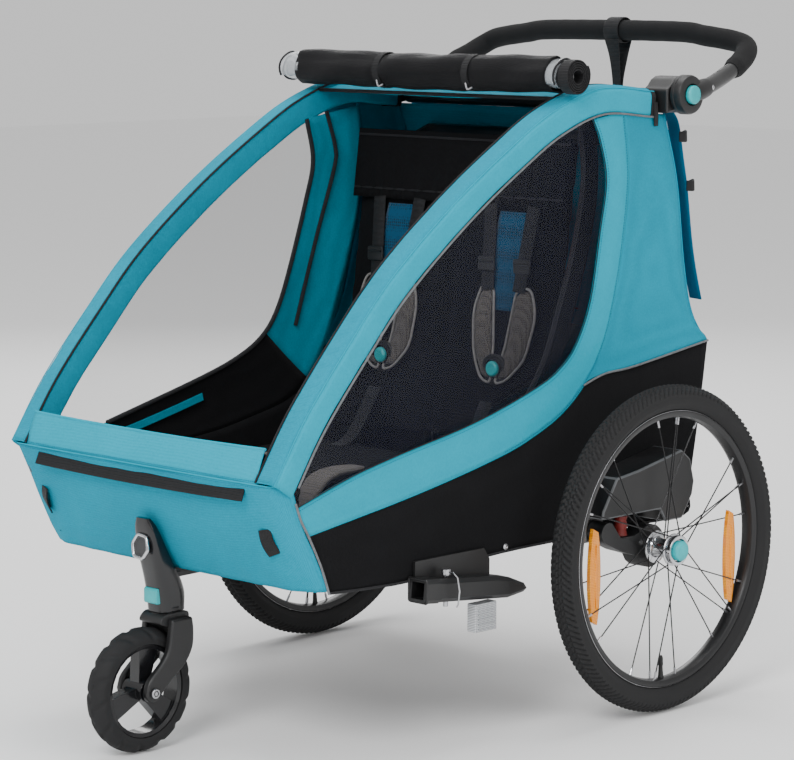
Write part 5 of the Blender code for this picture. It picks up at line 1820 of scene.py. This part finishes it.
def build_handlebar(look):
    half = [Vector(p) for p in HANDLE_HALF]
    path = smooth_line(half + [Vector((-p.x, p.y, p.z)) for p in half[::-1]], 8)
    tube = bar("handlebar_tube", path, 0.0125, look["frame"], "handle", "black_frame", 24)
    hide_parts("handlebar")
    start, end = 20, len(path) - 1 - 20
    covered = even(path[start:end + 1], 150)
    radii = []
    for i in range(150):
        ends = min(i, 149 - i)
        radii.append((0.0136 + 0.0030 * min(1.0, ends / 3)) + 0.00012 * math.sin(i * 0.8))
    grip = bar("handlebar_foam", covered, 0.0166, look["foam"], "handle", "grip_foam", 28, radii)
    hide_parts("handlebar_grip")
    for side, sign in sides():
        refined(f"{side}_handle_socket", look["plastic"], "black_plastic", 0.0030, 4)
        refined(f"{side}_tilt_button", look["teal_plastic"], "teal_plastic", 0.0018, 4)
        knob = [
            (0.3048, 0.0001), (0.3048, 0.0285), (0.3066, 0.0300), (0.3110, 0.0300), (0.3118, 0.0292),
            (0.3126, 0.0300),
            (0.3195, 0.0300), (0.3235, 0.0284), (0.3250, 0.0245), (0.3250, 0.0172), (0.3238, 0.0158),
            (0.3186, 0.0154), (0.3186, 0.0001),
        ]
        turned(f"{side}_handle_knob", knob, (0.350, 0.921), look["plastic"], "handle", "black_plastic", 64,
               sign=sign)
        rivet = Vector((sign * 0.3150, 0.395, 0.931)) + Vector((sign * 0.0118, 0.0, 0.0))
        screw(f"{side}_handle_rivet", sign, rivet.x, rivet.y, rivet.z, 0.0042, look, "handle")
        cuff = even([half[0], half[1]], 6)
        cuff = [Vector((sign * p.x, p.y, p.z)) for p in cuff]
        bar(f"{side}_handle_cuff", cuff, 0.0150, look["plastic"], "handle", "black_plastic", 24,
            [0.0150, 0.0158, 0.0158, 0.0155, 0.0150, 0.0140])


def build_wrist_strap(look):
    """A webbing ring round the grip and the long loop that hangs from it."""
    y, z, x = 0.5489, 1.01175, 0.010
    ring, face = [], []
    for k in range(41):
        angle = 2 * math.pi * k / 40 - math.pi / 2
        ring.append((x, y + 0.0204 * math.cos(angle), z + 0.0204 * math.sin(angle)))
        face.append((0, math.cos(angle), math.sin(angle)))
    band = ribbon("wrist_strap_ring", ring, 0.030, 0.0018, face, look["webbing"], "strap", "black_fabric")
    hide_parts("wrist_strap")
    for number, way in enumerate((-1, 1)):
        line = smooth_line([
            (x, y + way * 0.0170, z - 0.0150), (x + 0.001, y + way * 0.0100, z - 0.0450),
            (x, y + way * 0.0030, z - 0.0900), (x + 0.001, y + way * 0.0060, z - 0.1400),
            (x, y + way * 0.0080, z - 0.1850), (x + 0.001, y + way * 0.0045, z - 0.2060),
            (x, y + way * 0.0002, z - 0.2105),
        ], 6)
        bm = bmesh.new()
        rings = []
        for i, p in enumerate(line):
            t = i / (len(line) - 1)
            width = 0.0145 - 0.0065 * max(0.0, math.sin(math.pi * min(1.0, t * 1.25)))
            ahead = (line[min(i + 1, len(line) - 1)] - line[max(i - 1, 0)]).normalized()
            out = ahead.cross(Vector((1, 0, 0))).normalized()
            rings.append([p + Vector((a * width, 0, 0)) + out * b for a, b in (
                (-1, -0.0004), (-0.94, -0.0009), (0.94, -0.0009), (1, -0.0004), (1, 0.0004), (0.94, 0.0009),
                (-0.94, 0.0009), (-1, 0.0004))])
        skin(bm, rings, wrap_along=True, caps=True)
        make(f"wrist_strap_run_{number}", bm, look["webbing"], "strap", "black_fabric")


def build_drawbar(look):
    refined("drawbar_receiver", look["plastic"], "black_plastic", 0.0028, 4)
    pin = refined("lock_pin", look["steel"], "plated_steel", 0.0006, 2)
    pin["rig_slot"] = "plated_steel"
    refined("side_reflector", look["clear_reflector"], "reflector", 0.0016, 3)
    low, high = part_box("side_reflector")
    for k in range(5):
        z = low[2] + (high[2] - low[2]) * (k + 0.8) / 6.2
        bar(f"side_reflector_rib_{k}", [(high[0] + 0.0002, low[1] + 0.004, z),
                                        (high[0] + 0.0002, high[1] - 0.004, z)],
            0.0011, look["clear_reflector"], "chassis", "reflector", 8)
    bar("receiver_mouth_lip", receiver_mouth(), 0.0017, look["plastic"], "chassis", "black_plastic", 8)
    refined("brake_pedal", look["plastic"], "black_plastic", 0.0028, 3)
    low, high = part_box("brake_pedal")
    for k in range(4):
        y = high[1] - 0.006 - 0.008 * k
        top = high[2] + 0.0006
        bar(f"pedal_rib_{k}", [(low[0] * 0.6, y, top - 0.012), (high[0] * 0.6, y, top - 0.012)], 0.0013,
            look["teal_plastic"],
            "parking_brake", "teal_plastic", 8)


def receiver_mouth():
    centre = Vector((0.306, -0.225, 0.241))
    outline = rounded([(-0.0178, -0.0168), (0.0178, -0.0168), (0.0178, 0.0168), (-0.0178, 0.0168)], 0.003, 3)
    path = [centre + Vector((p.x, 0.0006, p.y)) for p in outline]
    return path + path[:2]


def main():
    build_camera()
    build_studio()
    look = build_materials()
    for side, sign in sides():
        build_side_cover(side, sign, look)
        build_arch_sleeve(side, sign, look)
        build_lining(side, sign, look)
    build_nose(look)
    build_nose_inside(look)
    build_rear(look)
    build_roof(look)
    build_roll(look)
    build_seats(look)
    for side, sign in sides():
        build_side_wheel(side, sign, look)
        build_suspension(side, sign, look)
        refined(f"{side}_buckle_button", look["teal_plastic"], "teal_plastic", 0.0012, 3)
    build_front_wheel(look)
    build_front_bracket(look)
    build_frame_bars(look)
    build_handlebar(look)
    build_wrist_strap(look)
    build_drawbar(look)


main()
